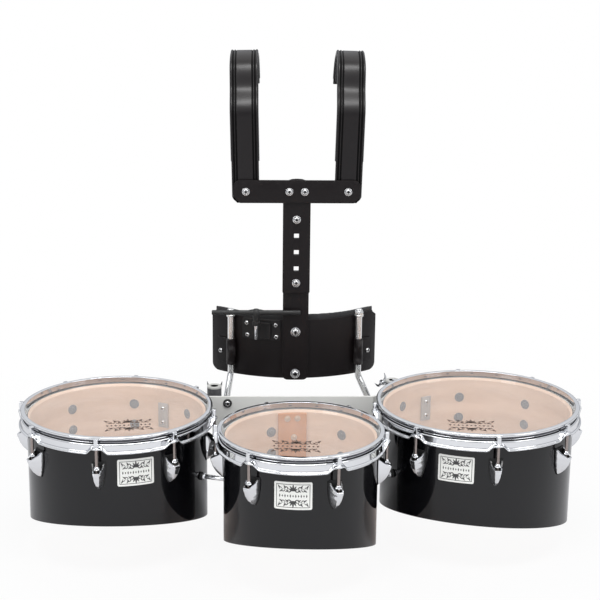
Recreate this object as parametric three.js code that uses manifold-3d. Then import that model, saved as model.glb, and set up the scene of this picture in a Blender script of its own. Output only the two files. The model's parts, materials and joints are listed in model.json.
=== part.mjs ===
// Marching tenor drums: three single-headed drums with slanted open shells on an aluminium
// rack, hung by two J-shaped rods on a shoulder carrier with a tuning key.
// Lengths are millimetres and angles are degrees. +Z is up, and the audience looks along +Y.
// While it is built, the floor is z = 0 and the centre drum's axis is x = 0, y = 0.
// An azimuth is measured around a vertical axis from the audience's side (-Y) towards +X.
import * as THREE from 'three';
import { mergeVertices } from 'three/addons/utils/BufferGeometryUtils.js';
import Module from 'manifold-3d';

const wasm = await Module();
wasm.setup();

// Clearances and tools
const gap = 0.3; // between pieces that touch
const slideGap = 0.4; // around a rod that slides
const overrun = 6; // how far a cutting tool passes the faces it cuts
const weldDistance = 0.0001;

// Drums: shell radius, lug count and badge azimuth of each, and where it stands.
// The side drums stand off the centre drum at an azimuth, with this much air between the shells.
const centreRadius = 127;
const leftRadius = 152.4;
const rightRadius = 165.1;
const leftShellSpacing = 51;
const rightShellSpacing = 48;
const leftStandAzimuth = -110.7;
const rightStandAzimuth = 113.9;

// Every hoop's top lies at this height, and every shell's long side stands on the floor
const hoopTopHeight = 245;
const shellThickness = 6;
const bearingWidth = 2; // the top edge's crest lies this far inside the shell's outer face
const bearingHeight = 2.7;

// Head: a clear film drawn over the shell's crest, with a metal ring around its collar
const filmDepth = 9.5; // below the hoop's top
const filmThickness = 1;
const collarDropHeight = 2;
const collarDistance = 1.9; // outside the shell
const collarClearance = 0.6;
const ringDistance = 7.2;
const ringDropHeight = 4.3; // from the film's top to the ring's top
const ringHeight = 6.7;

// Hoop: triple-flanged, with a scalloped lower edge that rises to an ear at each tension rod
const hoopWallDistance = 2.5; // outside the shell
const hoopWallThickness = 2.1;
const rollDistance = 9.8;
const rollHeight = 3.2;
const rollEdgeWidth = 1.2;
const ledgeRiseHeight = 2.6; // top of the ledge above its underside, at the wall
const skirtDistance = 7.8;
const skirtThickness = 2;
const skirtHeight = 14.5; // below the ledge's underside, between the ears
const lipDistance = 13.5;
const lipHeight = 2.5;
const lipSlopeHeight = 1;
const earDistance = 19.5;
const earHeight = 5.1; // below the ledge's underside
const earHalfAngle = 4.5;
const earShoulderShare = 0.62; // of the ear's reach, at its two corners
const facets = 48;

// Tension rods and lugs
const rodDistance = 14; // axis outside the shell
const tensionRodRadius = 3;
const rodHeadWidth = 7;
const rodHeadTop = 1; // below the hoop's top
const rodWasherRadius = 5.2;
const rodWasherHeight = 2.4;
const rodFacets = 6;
const lugTopDepth = 45;
const lugHeight = 46;
const lugWidth = 22;
const lugDepth = 23;
const lugFacets = 6;
const rodEngagementLength = 14; // rod inside the lug
const swivelNutRadius = 4.8;
const swivelNutHeight = 2.2;
// Down the lug: share of its height, of its width and of its protrusion
const lugShares = [
  [0, 0.92, 0.9], [0.07, 1, 1], [0.32, 0.95, 0.93], [0.58, 0.78, 0.74], [0.82, 0.5, 0.42], [1, 0.16, 0.1],
];

// Rack: an aluminium bar with a wing bent back behind each side drum
const centreBracketLength = 117; // from the centre shell's rear to the bar
const barThickness = 5;
const barTopDepth = 29; // below the hoops' top
const barHeight = 55;
const leftWingAngle = 29.4;
const rightWingAngle = 35;
const leftStandoffDistance = 29.9; // from the side shell to the wing
const rightStandoffDistance = 20;
const leftWingLength = 86;
const rightWingLength = 118;
const mountHeight = 45;
const mountWidth = 40;
const mountDropHeight = 5; // from the bar's top to the mounts' top
const leftMountAzimuth = 150.6;
const rightMountAzimuth = -153;
const centreMountAzimuth = 185;
const bracketHalfAngle = 11.35; // of the shell's round that its web covers
const bracketThickness = 4;
const bracketDropHeight = 10; // from the mounts' top to its own
const bracketHeight = 35;
const bracketFootLength = 20;
const backingWidth = 20;
const backingHeight = 46;
const backingThickness = 3;
const stripWidth = 50;
const stripThickness = 4;
const stripTopGapHeight = 8;
const stripBottomHeight = 14;

// Link rods between the shells
const linkHeight = 140;
const linkRadius = 4;
const linkWasherRadius = 10;
const linkWasherThickness = 3;

// Carrier: belly plate, part of a cylinder whose axis is behind the wearer's front
const bellyDistance = 51; // from the bar's rear to the plate's front
const bellyRadius = 200;
const bellyThickness = 3;
const bellyHalfWidth = 152;
const bellyBottomHeight = 233;
const bellyHeight = 111;
const bellyCornerRadius = 11;
const bellyChamferWidth = 9;
const bellySegments = 16;
const padThickness = 12;
const padCrownHeight = 8;
const padRiseHeight = 7; // above the belly plate
const padTuckDistance = 3; // inside the belly plate's lower edge and ends
const padDrawInWidth = 5;
const padColumns = 14;

// J-rods, their sleeves and the rack's receivers
const jRodRadius = 6;
const sleeveThickness = 2;
const sleeveDistanceAside = 117.5; // from the carrier's middle
const sleeveRiseHeight = 19; // above the belly plate's lower edge
const sleeveHeight = 49;
const sleeveTabThickness = 3;
const sleeveTabLength = 34;
const jRodRiseHeight = 57; // above the sleeve
const jRodCrankDepth = 12; // below the sleeve
const jRodCrankRadius = 24;
const jRodCrankAngle = 22;
const jRodHookRadius = 22.5;
const jRodHookDepth = 68; // below the bar's top
const jRodHookSteps = 8;
const collarRadius = 8.5;
const collarHeight = 10;
const collarTopDepth = 4; // below the rod's top
const receiverRadius = 13;
const receiverRiseHeight = 14; // above the bar
const receiverHeight = 55;
const receiverBossLength = 5; // from the tube to the bar
const receiverBossWidth = 20;
const leftReceiverOffset = 15.2; // inwards from the bar's bend
const rightReceiverDistance = 63.7; // along the wing from the bar's bend
const rodEndDepth = 9; // rod's end below the receiver's top
const wingScrewDepth = 13; // below the receiver's top
const wingScrewRadius = 3;
const wingScrewLength = 12; // hub's face outside the tube
const wingHubRadius = 5;
const wingHubLength = 9;
const wingWidth = 32;
const wingHeight = 17;
const wingThickness = 2.4;
const wingCurveShare = 0.7; // of the hub's radius and of the wings' size, where their curves turn

// Column, T-bar and crossbar
const columnWidth = 46.5;
const columnThickness = 5;
const columnFootHeight = 1.5; // below the belly plate
const columnTopDepth = 10; // below the crossbar
const columnCornerRadius = 10;
const holePitchDistance = 30;
const holeWidth = 9;
const topHoleDepth = 30.5; // below the crossbar
const holeCount = 5;
const tBarWidth = 49;
const tBarThickness = 4;
const tBarFootHeight = 15.5; // below its lowest hole
const tBarPeekHeight = 1.8; // above the crossbar
const tBarCornerRadius = 12;
const crossbarHalfWidth = 112;
const crossbarHeight = 41;
const crossbarBottomHeight = 562;
const crossbarThickness = 4;
const crossbarCornerRadius = 13;
const crossbarChamferWidth = 11;
const pivotDistance = 90.5;
const pivotRadius = 4;
const pivotNutRadius = 7;
const pivotNutHeight = 4;

// Shoulder straps: ribbed bands that rise from the crossbar and arch over the shoulders
const strapWidth = 48.5;
const strapThickness = 4;
const strapRibHeight = 1.2;
const strapChamferWidth = 9;
const strapHeight = 259;
const strapArchRadius = 93;
const strapArchAngle = 163;
const strapArchSteps = 10;
const strapSplay = 1.3;
// Across the strap: where each rib starts and ends, as shares of half the width
const ribShares = [[0.98, 0.84], [0.72, 0.56]];
const ribFlankShare = 0.03;
const shoulderPadRiseHeight = 67; // above the strap's lower end
const shoulderPadWidth = 50;
const shoulderPadThickness = 11;
const shoulderPadCrownHeight = 4;
const shoulderPadEndShare = 0.5;

// Tuning key with a T handle, in a holder on the belly plate
const keyOffset = -71.5;
const keyDistance = 15; // in front of the belly plate
const keyHandleRiseHeight = 17; // above the holder's ring
const keyHandleLength = 160;
const keyHandleRadius = 4.5;
const keyHubRadius = 8;
const keyHubTipRadius = 5.6;
const keyShaftRadius = 3.6;
const keyTipRadius = 2.6;
const keyShaftDepth = 33; // below the holder's ring's top
const holderRingRadius = 7;
const holderRingHeight = 7;
const holderRingRiseHeight = 1; // above the belly plate
const holderThickness = 2.5;
const holderTopDepth = 2; // below the ring's top
const holderHeight = 38;
const holderInnerOffset = -27; // the plate's two ends, from the carrier's middle
const holderOuterOffset = -95;
const holderArmWidth = 8;

// Values worked out from the sizes above
const radians = THREE.MathUtils.degToRad;
const sine = (angle) => Math.sin(radians(angle));
const cosine = (angle) => Math.cos(radians(angle));
const heading = (azimuth) => new THREE.Vector2(sine(azimuth), -cosine(azimuth));
const standOff = (azimuth, distance) => heading(azimuth).multiplyScalar(distance);
const leftCentre = standOff(leftStandAzimuth, centreRadius + leftShellSpacing + leftRadius);
const rightCentre = standOff(rightStandAzimuth, centreRadius + rightShellSpacing + rightRadius);
const drums = [
  { name: 'left', radius: leftRadius, centre: leftCentre, badge: 15.6, lugs: 8, cut: 0, slope: 0.289 },
  {
    name: 'centre', radius: centreRadius, centre: new THREE.Vector2(),
    badge: -7.4, lugs: 6, cut: -4.8, slope: 0.346,
  },
  { name: 'right', radius: rightRadius, centre: rightCentre, badge: -20, lugs: 8, cut: -20, slope: 0.25 },
];
const [leftDrum, centreDrum, rightDrum] = drums;
const filmTop = hoopTopHeight - filmDepth;
const shellTop = filmTop - filmThickness - gap;
const ringTop = filmTop - ringDropHeight;
const ledgeUnder = ringTop + gap;
const earTop = ledgeUnder - earHeight + lipHeight;
const lugTop = hoopTopHeight - lugTopDepth;
const barFront = centreRadius + centreBracketLength;
const barRear = barFront + barThickness;
const barTop = hoopTopHeight - barTopDepth;
const barBottom = barTop - barHeight;
const mountTop = barTop - mountDropHeight;
const mountBottom = mountTop - mountHeight;
const receiverTop = barTop + receiverRiseHeight;
const bellyFront = barRear + bellyDistance;
const bellyCentreY = bellyFront + bellyRadius;
const bellyTop = bellyBottomHeight + bellyHeight;
const sleeveBottom = bellyBottomHeight + sleeveRiseHeight;
const sleeveTop = sleeveBottom + sleeveHeight;
const jRodTop = sleeveTop + jRodRiseHeight;
const holderRingTop = bellyTop + holderRingRiseHeight;
const holderTop = holderRingTop - holderTopDepth;
const holderBottom = holderTop - holderHeight;
const crossbarTop = crossbarBottomHeight + crossbarHeight;
const topHole = crossbarBottomHeight - topHoleDepth;
const tBarBottom = topHole - (holeCount - 1) * holePitchDistance - tBarFootHeight;
const pivotHeight = crossbarBottomHeight + crossbarHeight / 2;
const columnFront = bellyFront - gap - columnThickness;
const tBarFront = columnFront - gap - tBarThickness;
const crossbarFront = tBarFront - gap - crossbarThickness;
const keyFront = bellyFront - keyDistance;
const keyHandleHeight = holderRingTop + keyHandleRiseHeight;
const keyTipHeight = holderRingTop - keyShaftDepth;

// Materials by their look in the photograph
const finishes = {
  lacquer: [0x0c0c0e, 0.12, 0],
  clearFilm: [0xdccabb, 0.25, 0],
  chrome: [0xd4d6da, 0.12, 1],
  aluminium: [0xb9b8b2, 0.5, 0.8],
  blackPaint: [0x17171a, 0.45, 0.2],
  foam: [0x101012, 0.85, 0],
  rubber: [0x0d0d0e, 0.75, 0],
  greySteel: [0x6f6f72, 0.45, 0.8],
  darkTube: [0x3a3b3c, 0.5, 0.6],
  ply: [0xc98f5a, 0.6, 0],
};

const drumSet = new THREE.Group();

function place(name, geometry, finish, parent = drumSet) {
  const [color, roughness, metalness] = finishes[finish];
  const mesh = new THREE.Mesh(geometry, new THREE.MeshStandardMaterial({ color, roughness, metalness }));
  mesh.name = name;
  parent.add(mesh);
  return mesh;
}

// Welded triangles without slivers of no area, turned so that their faces point out
function weld(geometry) {
  const bare = new THREE.BufferGeometry();
  bare.setAttribute('position', geometry.getAttribute('position').clone());
  if (geometry.index) bare.setIndex(geometry.index.clone());
  const merged = mergeVertices(bare, weldDistance);
  const corner = (i) => new THREE.Vector3().fromBufferAttribute(merged.getAttribute('position'), i);
  const kept = [];
  let volume = 0;
  for (let i = 0; i < merged.index.count; i += 3) {
    const [a, b, c] = [0, 1, 2].map((k) => merged.index.getX(i + k));
    if (a === b || b === c || c === a) continue;
    volume += corner(a).dot(corner(b).cross(corner(c)));
    kept.push([a, b, c]);
  }
  merged.setIndex(kept.flatMap(([a, b, c]) => (volume < 0 ? [a, c, b] : [a, b, c])));
  return merged;
}

function solid(geometry) {
  const { attributes, index } = weld(geometry);
  return new wasm.Manifold(new wasm.Mesh({
    numProp: 3,
    vertProperties: new Float32Array(attributes.position.array),
    triVerts: new Uint32Array(index.array),
  }));
}

function shaped(manifold) {
  const { vertProperties, triVerts } = manifold.getMesh();
  const geometry = new THREE.BufferGeometry();
  geometry.setAttribute('position', new THREE.Float32BufferAttribute(vertProperties, 3));
  geometry.setIndex(Array.from(triVerts));
  const flat = geometry.toNonIndexed();
  flat.computeVertexNormals();
  return flat;
}

const join = (geometries) => geometries.map(solid).reduce((sum, piece) => sum.add(piece));

// Surface through rings with equal counts of points. Each ring closes on itself, and the rings
// either close on each other or end in caps whose faces come from the outline.
function skin(rings, outline) {
  const count = rings[0].length;
  const index = [];
  const bands = outline ? rings.length - 1 : rings.length;
  for (let band = 0; band < bands; band++) {
    const here = band * count;
    const there = ((band + 1) % rings.length) * count;
    for (let side = 0; side < count; side++) {
      const next = (side + 1) % count;
      index.push(here + side, there + side, here + next);
      index.push(here + next, there + side, there + next);
    }
  }
  if (outline) {
    const last = (rings.length - 1) * count;
    const { area } = THREE.ShapeUtils;
    for (const face of THREE.ShapeUtils.triangulateShape(outline, [])) {
      const sameWay = area(face.map((i) => outline[i])) * area(outline) > 0;
      const [a, b, c] = sameWay ? face : [...face].reverse();
      index.push(a, b, c, last + a, last + c, last + b);
    }
  }
  const geometry = new THREE.BufferGeometry();
  const positions = rings.flat().flatMap((point) => point.toArray());
  geometry.setAttribute('position', new THREE.Float32BufferAttribute(positions, 3));
  geometry.setIndex(index);
  const flat = weld(geometry).toNonIndexed();
  flat.computeVertexNormals();
  return flat;
}

// Upright prism over an outline in plan
function prism(outline, bottom, height, curveSegments = 8) {
  const shape = outline instanceof THREE.Shape ? outline : new THREE.Shape(outline);
  const geometry = new THREE.ExtrudeGeometry(shape, { depth: height, bevelEnabled: false, curveSegments });
  return geometry.translate(0, 0, bottom);
}

// Plate whose outline is drawn as the audience sees it (x, z), with its front face at y = front
function facingPlate(shape, front, thickness, curveSegments = 4) {
  const geometry = new THREE.ExtrudeGeometry(shape, { depth: thickness, bevelEnabled: false, curveSegments });
  return geometry.rotateX(Math.PI / 2).translate(0, front + thickness, 0);
}

function rod(radius, from, to, sides, endRadius = radius) {
  const along = new THREE.Vector3().subVectors(to, from);
  const geometry = new THREE.CylinderGeometry(endRadius, radius, along.length(), sides);
  const turn = new THREE.Quaternion().setFromUnitVectors(
    new THREE.Vector3(0, 1, 0), along.clone().normalize());
  const middle = new THREE.Vector3().addVectors(from, to).multiplyScalar(0.5);
  return geometry.applyQuaternion(turn).translate(middle.x, middle.y, middle.z);
}

const upright = (radius, x, y, bottom, top, sides, topRadius = radius) =>
  rod(radius, new THREE.Vector3(x, y, bottom), new THREE.Vector3(x, y, top), sides, topRadius);

// Rectangle from left to right and bottom to top, with its own cut at each pair of corners
function cornered(left, right, bottom, top, lowerCut, upperCut, lowerRound, upperRound) {
  const shape = new THREE.Shape();
  const turn = (x, z, toX, toZ, round) => {
    if (round) shape.quadraticCurveTo(x, z, toX, toZ);
    else shape.lineTo(toX, toZ);
  };
  shape.moveTo(left + lowerCut, bottom);
  shape.lineTo(right - lowerCut, bottom);
  turn(right, bottom, right, bottom + lowerCut, lowerRound);
  shape.lineTo(right, top - upperCut);
  turn(right, top, right - upperCut, top, upperRound);
  shape.lineTo(left + upperCut, top);
  turn(left, top, left, top - upperCut, upperRound);
  shape.lineTo(left, bottom + lowerCut);
  turn(left, bottom, left + lowerCut, bottom, lowerRound);
  return shape;
}

const onDrum = (drum, azimuth, radius, z) => new THREE.Vector3(
  drum.centre.x + radius * sine(azimuth), drum.centre.y - radius * cosine(azimuth), z);

const lugAzimuths = (drum) => Array.from(
  { length: drum.lugs }, (_, i) => drum.badge + (i + 0.5) * (360 / drum.lugs));

// Directions in which every round piece of a drum is cut: an ear's two corners and its middle,
// then even steps to the next ear. ear tells how much of the ear is there.
function stations(drum) {
  const steps = facets / drum.lugs - 2;
  const between = 360 / drum.lugs - 2 * earHalfAngle;
  return lugAzimuths(drum).flatMap((azimuth) => [
    { azimuth: azimuth - earHalfAngle, ear: earShoulderShare, rise: 1 },
    { azimuth, ear: 1, rise: 1 },
    { azimuth: azimuth + earHalfAngle, ear: earShoulderShare, rise: 1 },
    ...Array.from({ length: steps - 1 }, (_, i) => (
      { azimuth: azimuth + earHalfAngle + ((i + 1) * between) / steps, ear: 0, rise: 0 })),
  ]);
}

const revolve = (drum, profile) => skin(stations(drum).map((station) => profile(station).map(
  ([radius, z]) => onDrum(drum, station.azimuth, radius, z))));

// Height of the slanted cut, whose low side lies opposite the badge and stands on the floor
function cutHeight(drum, azimuth, radius) {
  const towardsLow = -radius * cosine(azimuth - drum.cut);
  return drum.slope * (drum.radius - towardsLow);
}

const footprint = (drum, radius) => stations(drum).map(({ azimuth }) => {
  const point = onDrum(drum, azimuth, radius, 0);
  return new THREE.Vector2(point.x, point.y);
});

// Inner faces of a shell lie this far out at least, because each of them is flat
const clearInside = (drum) => (drum.radius - shellThickness) * cosine((180 / facets) * 1.2) - gap;

function shell(drum) {
  const inner = drum.radius - shellThickness;
  return revolve(drum, ({ azimuth }) => [
    [drum.radius, cutHeight(drum, azimuth, drum.radius)],
    [drum.radius, shellTop - bearingHeight],
    [drum.radius - bearingWidth, shellTop],
    [inner, shellTop - shellThickness + bearingWidth],
    [inner, cutHeight(drum, azimuth, inner)],
  ]);
}

function head(drum) {
  const { radius } = drum;
  const ringBottom = ringTop - ringHeight;
  const under = filmTop - filmThickness;
  return revolve(drum, () => [
    [0, filmTop],
    [radius - filmThickness / 2, filmTop],
    [radius + collarDistance, filmTop - collarDropHeight],
    [radius + collarDistance, ringTop],
    [radius + ringDistance, ringTop],
    [radius + ringDistance, ringBottom],
    [radius + collarClearance, ringBottom],
    [radius + collarClearance, under - collarDropHeight + collarClearance],
    [radius - filmThickness, under],
    [0, under],
  ]);
}

// The hoop's section changes around the drum: its lower edge rises and its lip grows to an ear
function hoopBand(drum) {
  const { radius } = drum;
  const wallOut = radius + hoopWallDistance + hoopWallThickness;
  const skirtOut = radius + skirtDistance + skirtThickness;
  return revolve(drum, ({ ear, rise }) => {
    const bottom = ledgeUnder - THREE.MathUtils.lerp(skirtHeight, earHeight, rise);
    const lip = radius + THREE.MathUtils.lerp(lipDistance, earDistance, ear);
    return [
      [radius + hoopWallDistance, hoopTopHeight],
      [radius + rollDistance - rollEdgeWidth, hoopTopHeight],
      [radius + rollDistance, hoopTopHeight - rollEdgeWidth],
      [radius + rollDistance - rollEdgeWidth, hoopTopHeight - rollHeight],
      [wallOut, hoopTopHeight - rollHeight],
      [wallOut, ledgeUnder + ledgeRiseHeight],
      [skirtOut, ledgeUnder + skirtThickness],
      [skirtOut, bottom + lipHeight + lipSlopeHeight * (1 - rise)],
      [lip, bottom + lipHeight],
      [lip, bottom],
      [radius + skirtDistance, bottom],
      [radius + skirtDistance, ledgeUnder],
      [radius + hoopWallDistance, ledgeUnder],
    ];
  });
}

// Moves what is drawn at the origin, facing -Y, to a shell's outer face at an azimuth
function seatOn(drum, azimuth, geometry) {
  const seat = onDrum(drum, azimuth, drum.radius, 0);
  return geometry.rotateZ(radians(azimuth)).translate(seat.x, seat.y, 0);
}

function tensionRod(drum, azimuth) {
  const washerTop = earTop + rodWasherHeight;
  const headTop = hoopTopHeight - rodHeadTop;
  const headBottom = washerTop - gap;
  const head = new THREE.BoxGeometry(rodHeadWidth, rodHeadWidth, headTop - headBottom);
  head.translate(0, -rodDistance, (headTop + headBottom) / 2);
  return join([
    upright(tensionRodRadius, 0, -rodDistance, lugTop - rodEngagementLength + gap, earTop + gap, rodFacets),
    upright(rodWasherRadius, 0, -rodDistance, earTop - gap, washerTop, rodFacets),
    head,
  ].map((piece) => seatOn(drum, azimuth, piece)));
}

function hoop(drum) {
  const rods = lugAzimuths(drum).map((azimuth) => tensionRod(drum, azimuth));
  return shaped(rods.reduce((sum, piece) => sum.add(piece), solid(hoopBand(drum))));
}

// Teardrop lug: half-ellipse sections that narrow and sink into the shell towards the tip,
// with a swivel nut and a bore for the tension rod. It is drawn at the origin facing -Y.
function lug(drum, azimuth) {
  const angles = Array.from({ length: lugFacets + 1 }, (_, i) => (180 * i) / lugFacets);
  const section = (wide, deep, z) => angles.map((angle) => new THREE.Vector3(
    (wide / 2) * cosine(angle), -gap - deep * sine(angle), z));
  const outline = angles.map((angle) => new THREE.Vector2(cosine(angle), -sine(angle)));
  const rings = lugShares.map(([down, wide, deep]) => section(
    wide * lugWidth, deep * (lugDepth - gap), lugTop - down * lugHeight));
  const nutTop = lugTop + swivelNutHeight;
  const nut = upright(swivelNutRadius, 0, -rodDistance, lugTop - swivelNutHeight, nutTop, rodFacets);
  const bore = upright(
    tensionRodRadius + slideGap, 0, -rodDistance, lugTop - rodEngagementLength, nutTop + overrun, rodFacets);
  const body = solid(skin(rings, outline)).add(solid(nut)).subtract(solid(bore));
  return seatOn(drum, azimuth, shaped(body));
}

for (const drum of drums) {
  place(`${drum.name}_shell`, shell(drum), 'lacquer');
  place(`${drum.name}_head`, head(drum), 'clearFilm');
  place(`${drum.name}_hoop`, hoop(drum), 'chrome');
  lugAzimuths(drum).forEach((azimuth, i) => {
    place(`${drum.name}_lug_${i + 1}`, lug(drum, azimuth), 'chrome');
  });
}

// A wing lies in a plane at a standoff from its side drum. across points from the drum to the
// wing, and along points from the bar's middle to the wing's end.
function wingOf(drum, angle, standoff, length, side) {
  const across = new THREE.Vector2(-side * sine(angle), cosine(angle));
  const along = new THREE.Vector2(side * cosine(angle), sine(angle));
  const distance = drum.radius + standoff;
  const lineThrough = (depth) => drum.centre.clone().addScaledVector(across, distance + depth);
  const bendAt = (depth) => {
    const point = lineThrough(depth);
    return point.addScaledVector(along, (barFront + depth - point.y) / along.y);
  };
  const front = bendAt(0);
  const rear = bendAt(barThickness);
  const end = front.clone().addScaledVector(along, length);
  const rearEnd = end.clone().addScaledVector(across, barThickness);
  return { across, along, distance, front, rear, end, rearEnd };
}

const leftWing = wingOf(leftDrum, leftWingAngle, leftStandoffDistance, leftWingLength, -1);
const rightWing = wingOf(rightDrum, rightWingAngle, rightStandoffDistance, rightWingLength, 1);

function rackBar() {
  return prism([
    leftWing.end, leftWing.front, rightWing.front, rightWing.end,
    rightWing.rearEnd, rightWing.rear, leftWing.rear, leftWing.rearEnd,
  ], barBottom, barHeight);
}

// Saddle between a side shell and its wing, hollowed to the shell's round
function sideMount(drum, wing, azimuth) {
  const out = heading(azimuth);
  const middle = out.dot(wing.along) * drum.radius;
  const corner = (along, across) => drum.centre.clone()
    .addScaledVector(wing.along, middle + along).addScaledVector(wing.across, across);
  const near = drum.radius - shellThickness - overrun;
  const far = wing.distance - gap;
  const half = mountWidth / 2;
  const block = prism(
    [corner(-half, near), corner(half, near), corner(half, far), corner(-half, far)],
    mountBottom, mountHeight);
  const hollow = prism(footprint(drum, drum.radius + gap), 0, hoopTopHeight);
  return shaped(solid(block).subtract(solid(hollow)));
}

// Bent strap from the centre shell's rear to the bar: a web on the shell, two legs, two feet
const bracketBottom = mountTop - bracketDropHeight - bracketHeight;

function centreBracket() {
  const x = centreRadius * sine(centreMountAzimuth);
  const half = centreRadius * sine(bracketHalfAngle);
  const foot = half + bracketFootLength;
  const rear = barFront - gap;
  const near = centreRadius * cosine(earHalfAngle) - overrun;
  const web = centreRadius + gap + bracketThickness;
  const inside = half - bracketThickness;
  const footFront = rear - bracketThickness;
  const outline = [
    [-half, near], [half, near], [half, footFront], [foot, footFront], [foot, rear], [inside, rear],
    [inside, web], [-inside, web], [-inside, rear], [-foot, rear], [-foot, footFront], [-half, footFront],
  ].map(([offset, y]) => new THREE.Vector2(x + offset, y));
  const strap = prism(outline, bracketBottom, bracketHeight);
  const hollow = prism(footprint(centreDrum, centreRadius + gap), 0, hoopTopHeight);
  return shaped(solid(strap).subtract(solid(hollow)));
}

// Flat steel plate inside a side shell, behind its mount
function backingPlate(drum, azimuth) {
  const reach = Math.sqrt(clearInside(drum) ** 2 - (backingWidth / 2) ** 2);
  const geometry = new THREE.BoxGeometry(backingWidth, backingThickness, backingHeight);
  const { x, y } = onDrum(drum, azimuth, reach - backingThickness / 2, 0);
  return geometry.rotateZ(radians(azimuth)).translate(x, y, mountBottom + mountHeight / 2);
}

// Curved plywood strip inside the centre shell
function reinforcement() {
  const outer = clearInside(centreDrum);
  const half = (stripWidth / 2 / outer) * THREE.MathUtils.RAD2DEG;
  const middle = centreMountAzimuth - 90;
  const shape = new THREE.Shape();
  shape.absarc(0, 0, outer, radians(middle - half), radians(middle + half), false);
  shape.absarc(0, 0, outer - stripThickness, radians(middle + half), radians(middle - half), true);
  return prism(shape, stripBottomHeight, shellTop - stripTopGapHeight - stripBottomHeight, 4);
}

// Rod between two shells, with a washer at each end
function linkRod(drum) {
  const between = drum.centre.clone().normalize();
  const spacing = drum.centre.length() - drum.radius;
  const at = (distance) => new THREE.Vector3(between.x * distance, between.y * distance, linkHeight);
  const start = centreRadius + gap;
  const end = spacing - gap;
  return shaped(join([
    rod(linkRadius, at(start), at(end), 8),
    rod(linkWasherRadius, at(start), at(start + linkWasherThickness), 8),
    rod(linkWasherRadius, at(end - linkWasherThickness), at(end), 8),
  ]));
}

place('rack_bar', rackBar(), 'aluminium');
place('left_drum_mount', sideMount(leftDrum, leftWing, leftMountAzimuth), 'rubber');
place('right_drum_mount', sideMount(rightDrum, rightWing, rightMountAzimuth), 'rubber');
place('centre_drum_bracket', centreBracket(), 'greySteel');
place('left_backing_plate', backingPlate(leftDrum, leftMountAzimuth), 'greySteel');
place('right_backing_plate', backingPlate(rightDrum, rightMountAzimuth), 'greySteel');
place('centre_reinforcement', reinforcement(), 'ply');
place('left_link_rod', linkRod(leftDrum), 'chrome');
place('right_link_rod', linkRod(rightDrum), 'chrome');

// Each receiver stands behind the bar, at a distance along it from a bend
const receiverOffset = receiverRadius + receiverBossLength + gap;
const straight = { across: new THREE.Vector2(0, 1), along: new THREE.Vector2(1, 0), rear: leftWing.rear };
function receiverSeat({ across, along, rear }, distance) {
  const { x, y } = rear.clone().addScaledVector(across, receiverOffset).addScaledVector(along, distance);
  return { x, y, across, along };
}
const receivers = [
  { name: 'left', side: -1, ...receiverSeat(straight, leftReceiverOffset) },
  { name: 'right', side: 1, ...receiverSeat(rightWing, rightReceiverDistance) },
];

// Upright tube with a flat boss on the bar and a threaded hole for its wing screw
function receiver({ x, y, across, along }) {
  const half = receiverBossWidth / 2;
  const corner = (aside, back) => new THREE.Vector2(x, y)
    .addScaledVector(along, aside).addScaledVector(across, back);
  const onBar = gap - receiverOffset;
  const bottom = receiverTop - receiverHeight;
  const boss = prism(
    [corner(-half, 0), corner(half, 0), corner(half, onBar), corner(-half, onBar)],
    bottom, barTop - bottom);
  const tube = upright(receiverRadius, x, y, bottom, receiverTop, 16);
  const bore = upright(jRodRadius + slideGap, x, y, bottom - overrun, receiverTop + overrun, 16);
  const screwHole = rod(
    wingScrewRadius + slideGap, new THREE.Vector3(x, y, receiverTop - wingScrewDepth),
    new THREE.Vector3(
      x + across.x * (receiverRadius + overrun), y + across.y * (receiverRadius + overrun),
      receiverTop - wingScrewDepth), 8);
  return shaped(join([tube, boss]).subtract(solid(bore)).subtract(solid(screwHole)));
}

// Screw with two wings in the plane across its axis
function wingScrew({ x, y, across, along }) {
  const z = receiverTop - wingScrewDepth;
  const at = (reach) => new THREE.Vector3(x + across.x * reach, y + across.y * reach, z);
  const hubStart = receiverRadius + wingScrewLength;
  const half = wingWidth / 2;
  const shape = new THREE.Shape();
  const low = -wingHubRadius * wingCurveShare;
  const shoulder = [half * wingCurveShare, wingHeight * wingCurveShare];
  shape.moveTo(0, low);
  shape.quadraticCurveTo(half, low, half, wingHeight / 2);
  shape.quadraticCurveTo(...shoulder, 0, -low);
  shape.quadraticCurveTo(-shoulder[0], shoulder[1], -half, wingHeight / 2);
  shape.quadraticCurveTo(-half, low, 0, low);
  const wings = new THREE.ExtrudeGeometry(
    shape, { depth: wingThickness, bevelEnabled: false, curveSegments: 4 });
  wings.translate(0, 0, -wingThickness / 2).rotateX(Math.PI / 2).rotateZ(Math.atan2(along.y, along.x));
  const seat = at(hubStart + wingHubLength / 2);
  wings.translate(seat.x, seat.y, seat.z);
  return shaped(join([
    rod(wingScrewRadius, at(jRodRadius + slideGap + gap), at(hubStart + gap), 8),
    rod(wingHubRadius, at(hubStart), at(hubStart + wingHubLength), 10),
    wings,
  ]));
}

// Sleeves stand against the belly plate's front, so their depth follows from its round
const sleeveRadius = jRodRadius + slideGap + sleeveThickness;
const sleeveDistance = bellyRadius + gap + sleeveRadius;
const sleeveAngle = Math.asin(sleeveDistanceAside / sleeveDistance) * THREE.MathUtils.RAD2DEG;
const sleeveY = bellyCentreY - sleeveDistance * cosine(sleeveAngle);

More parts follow.
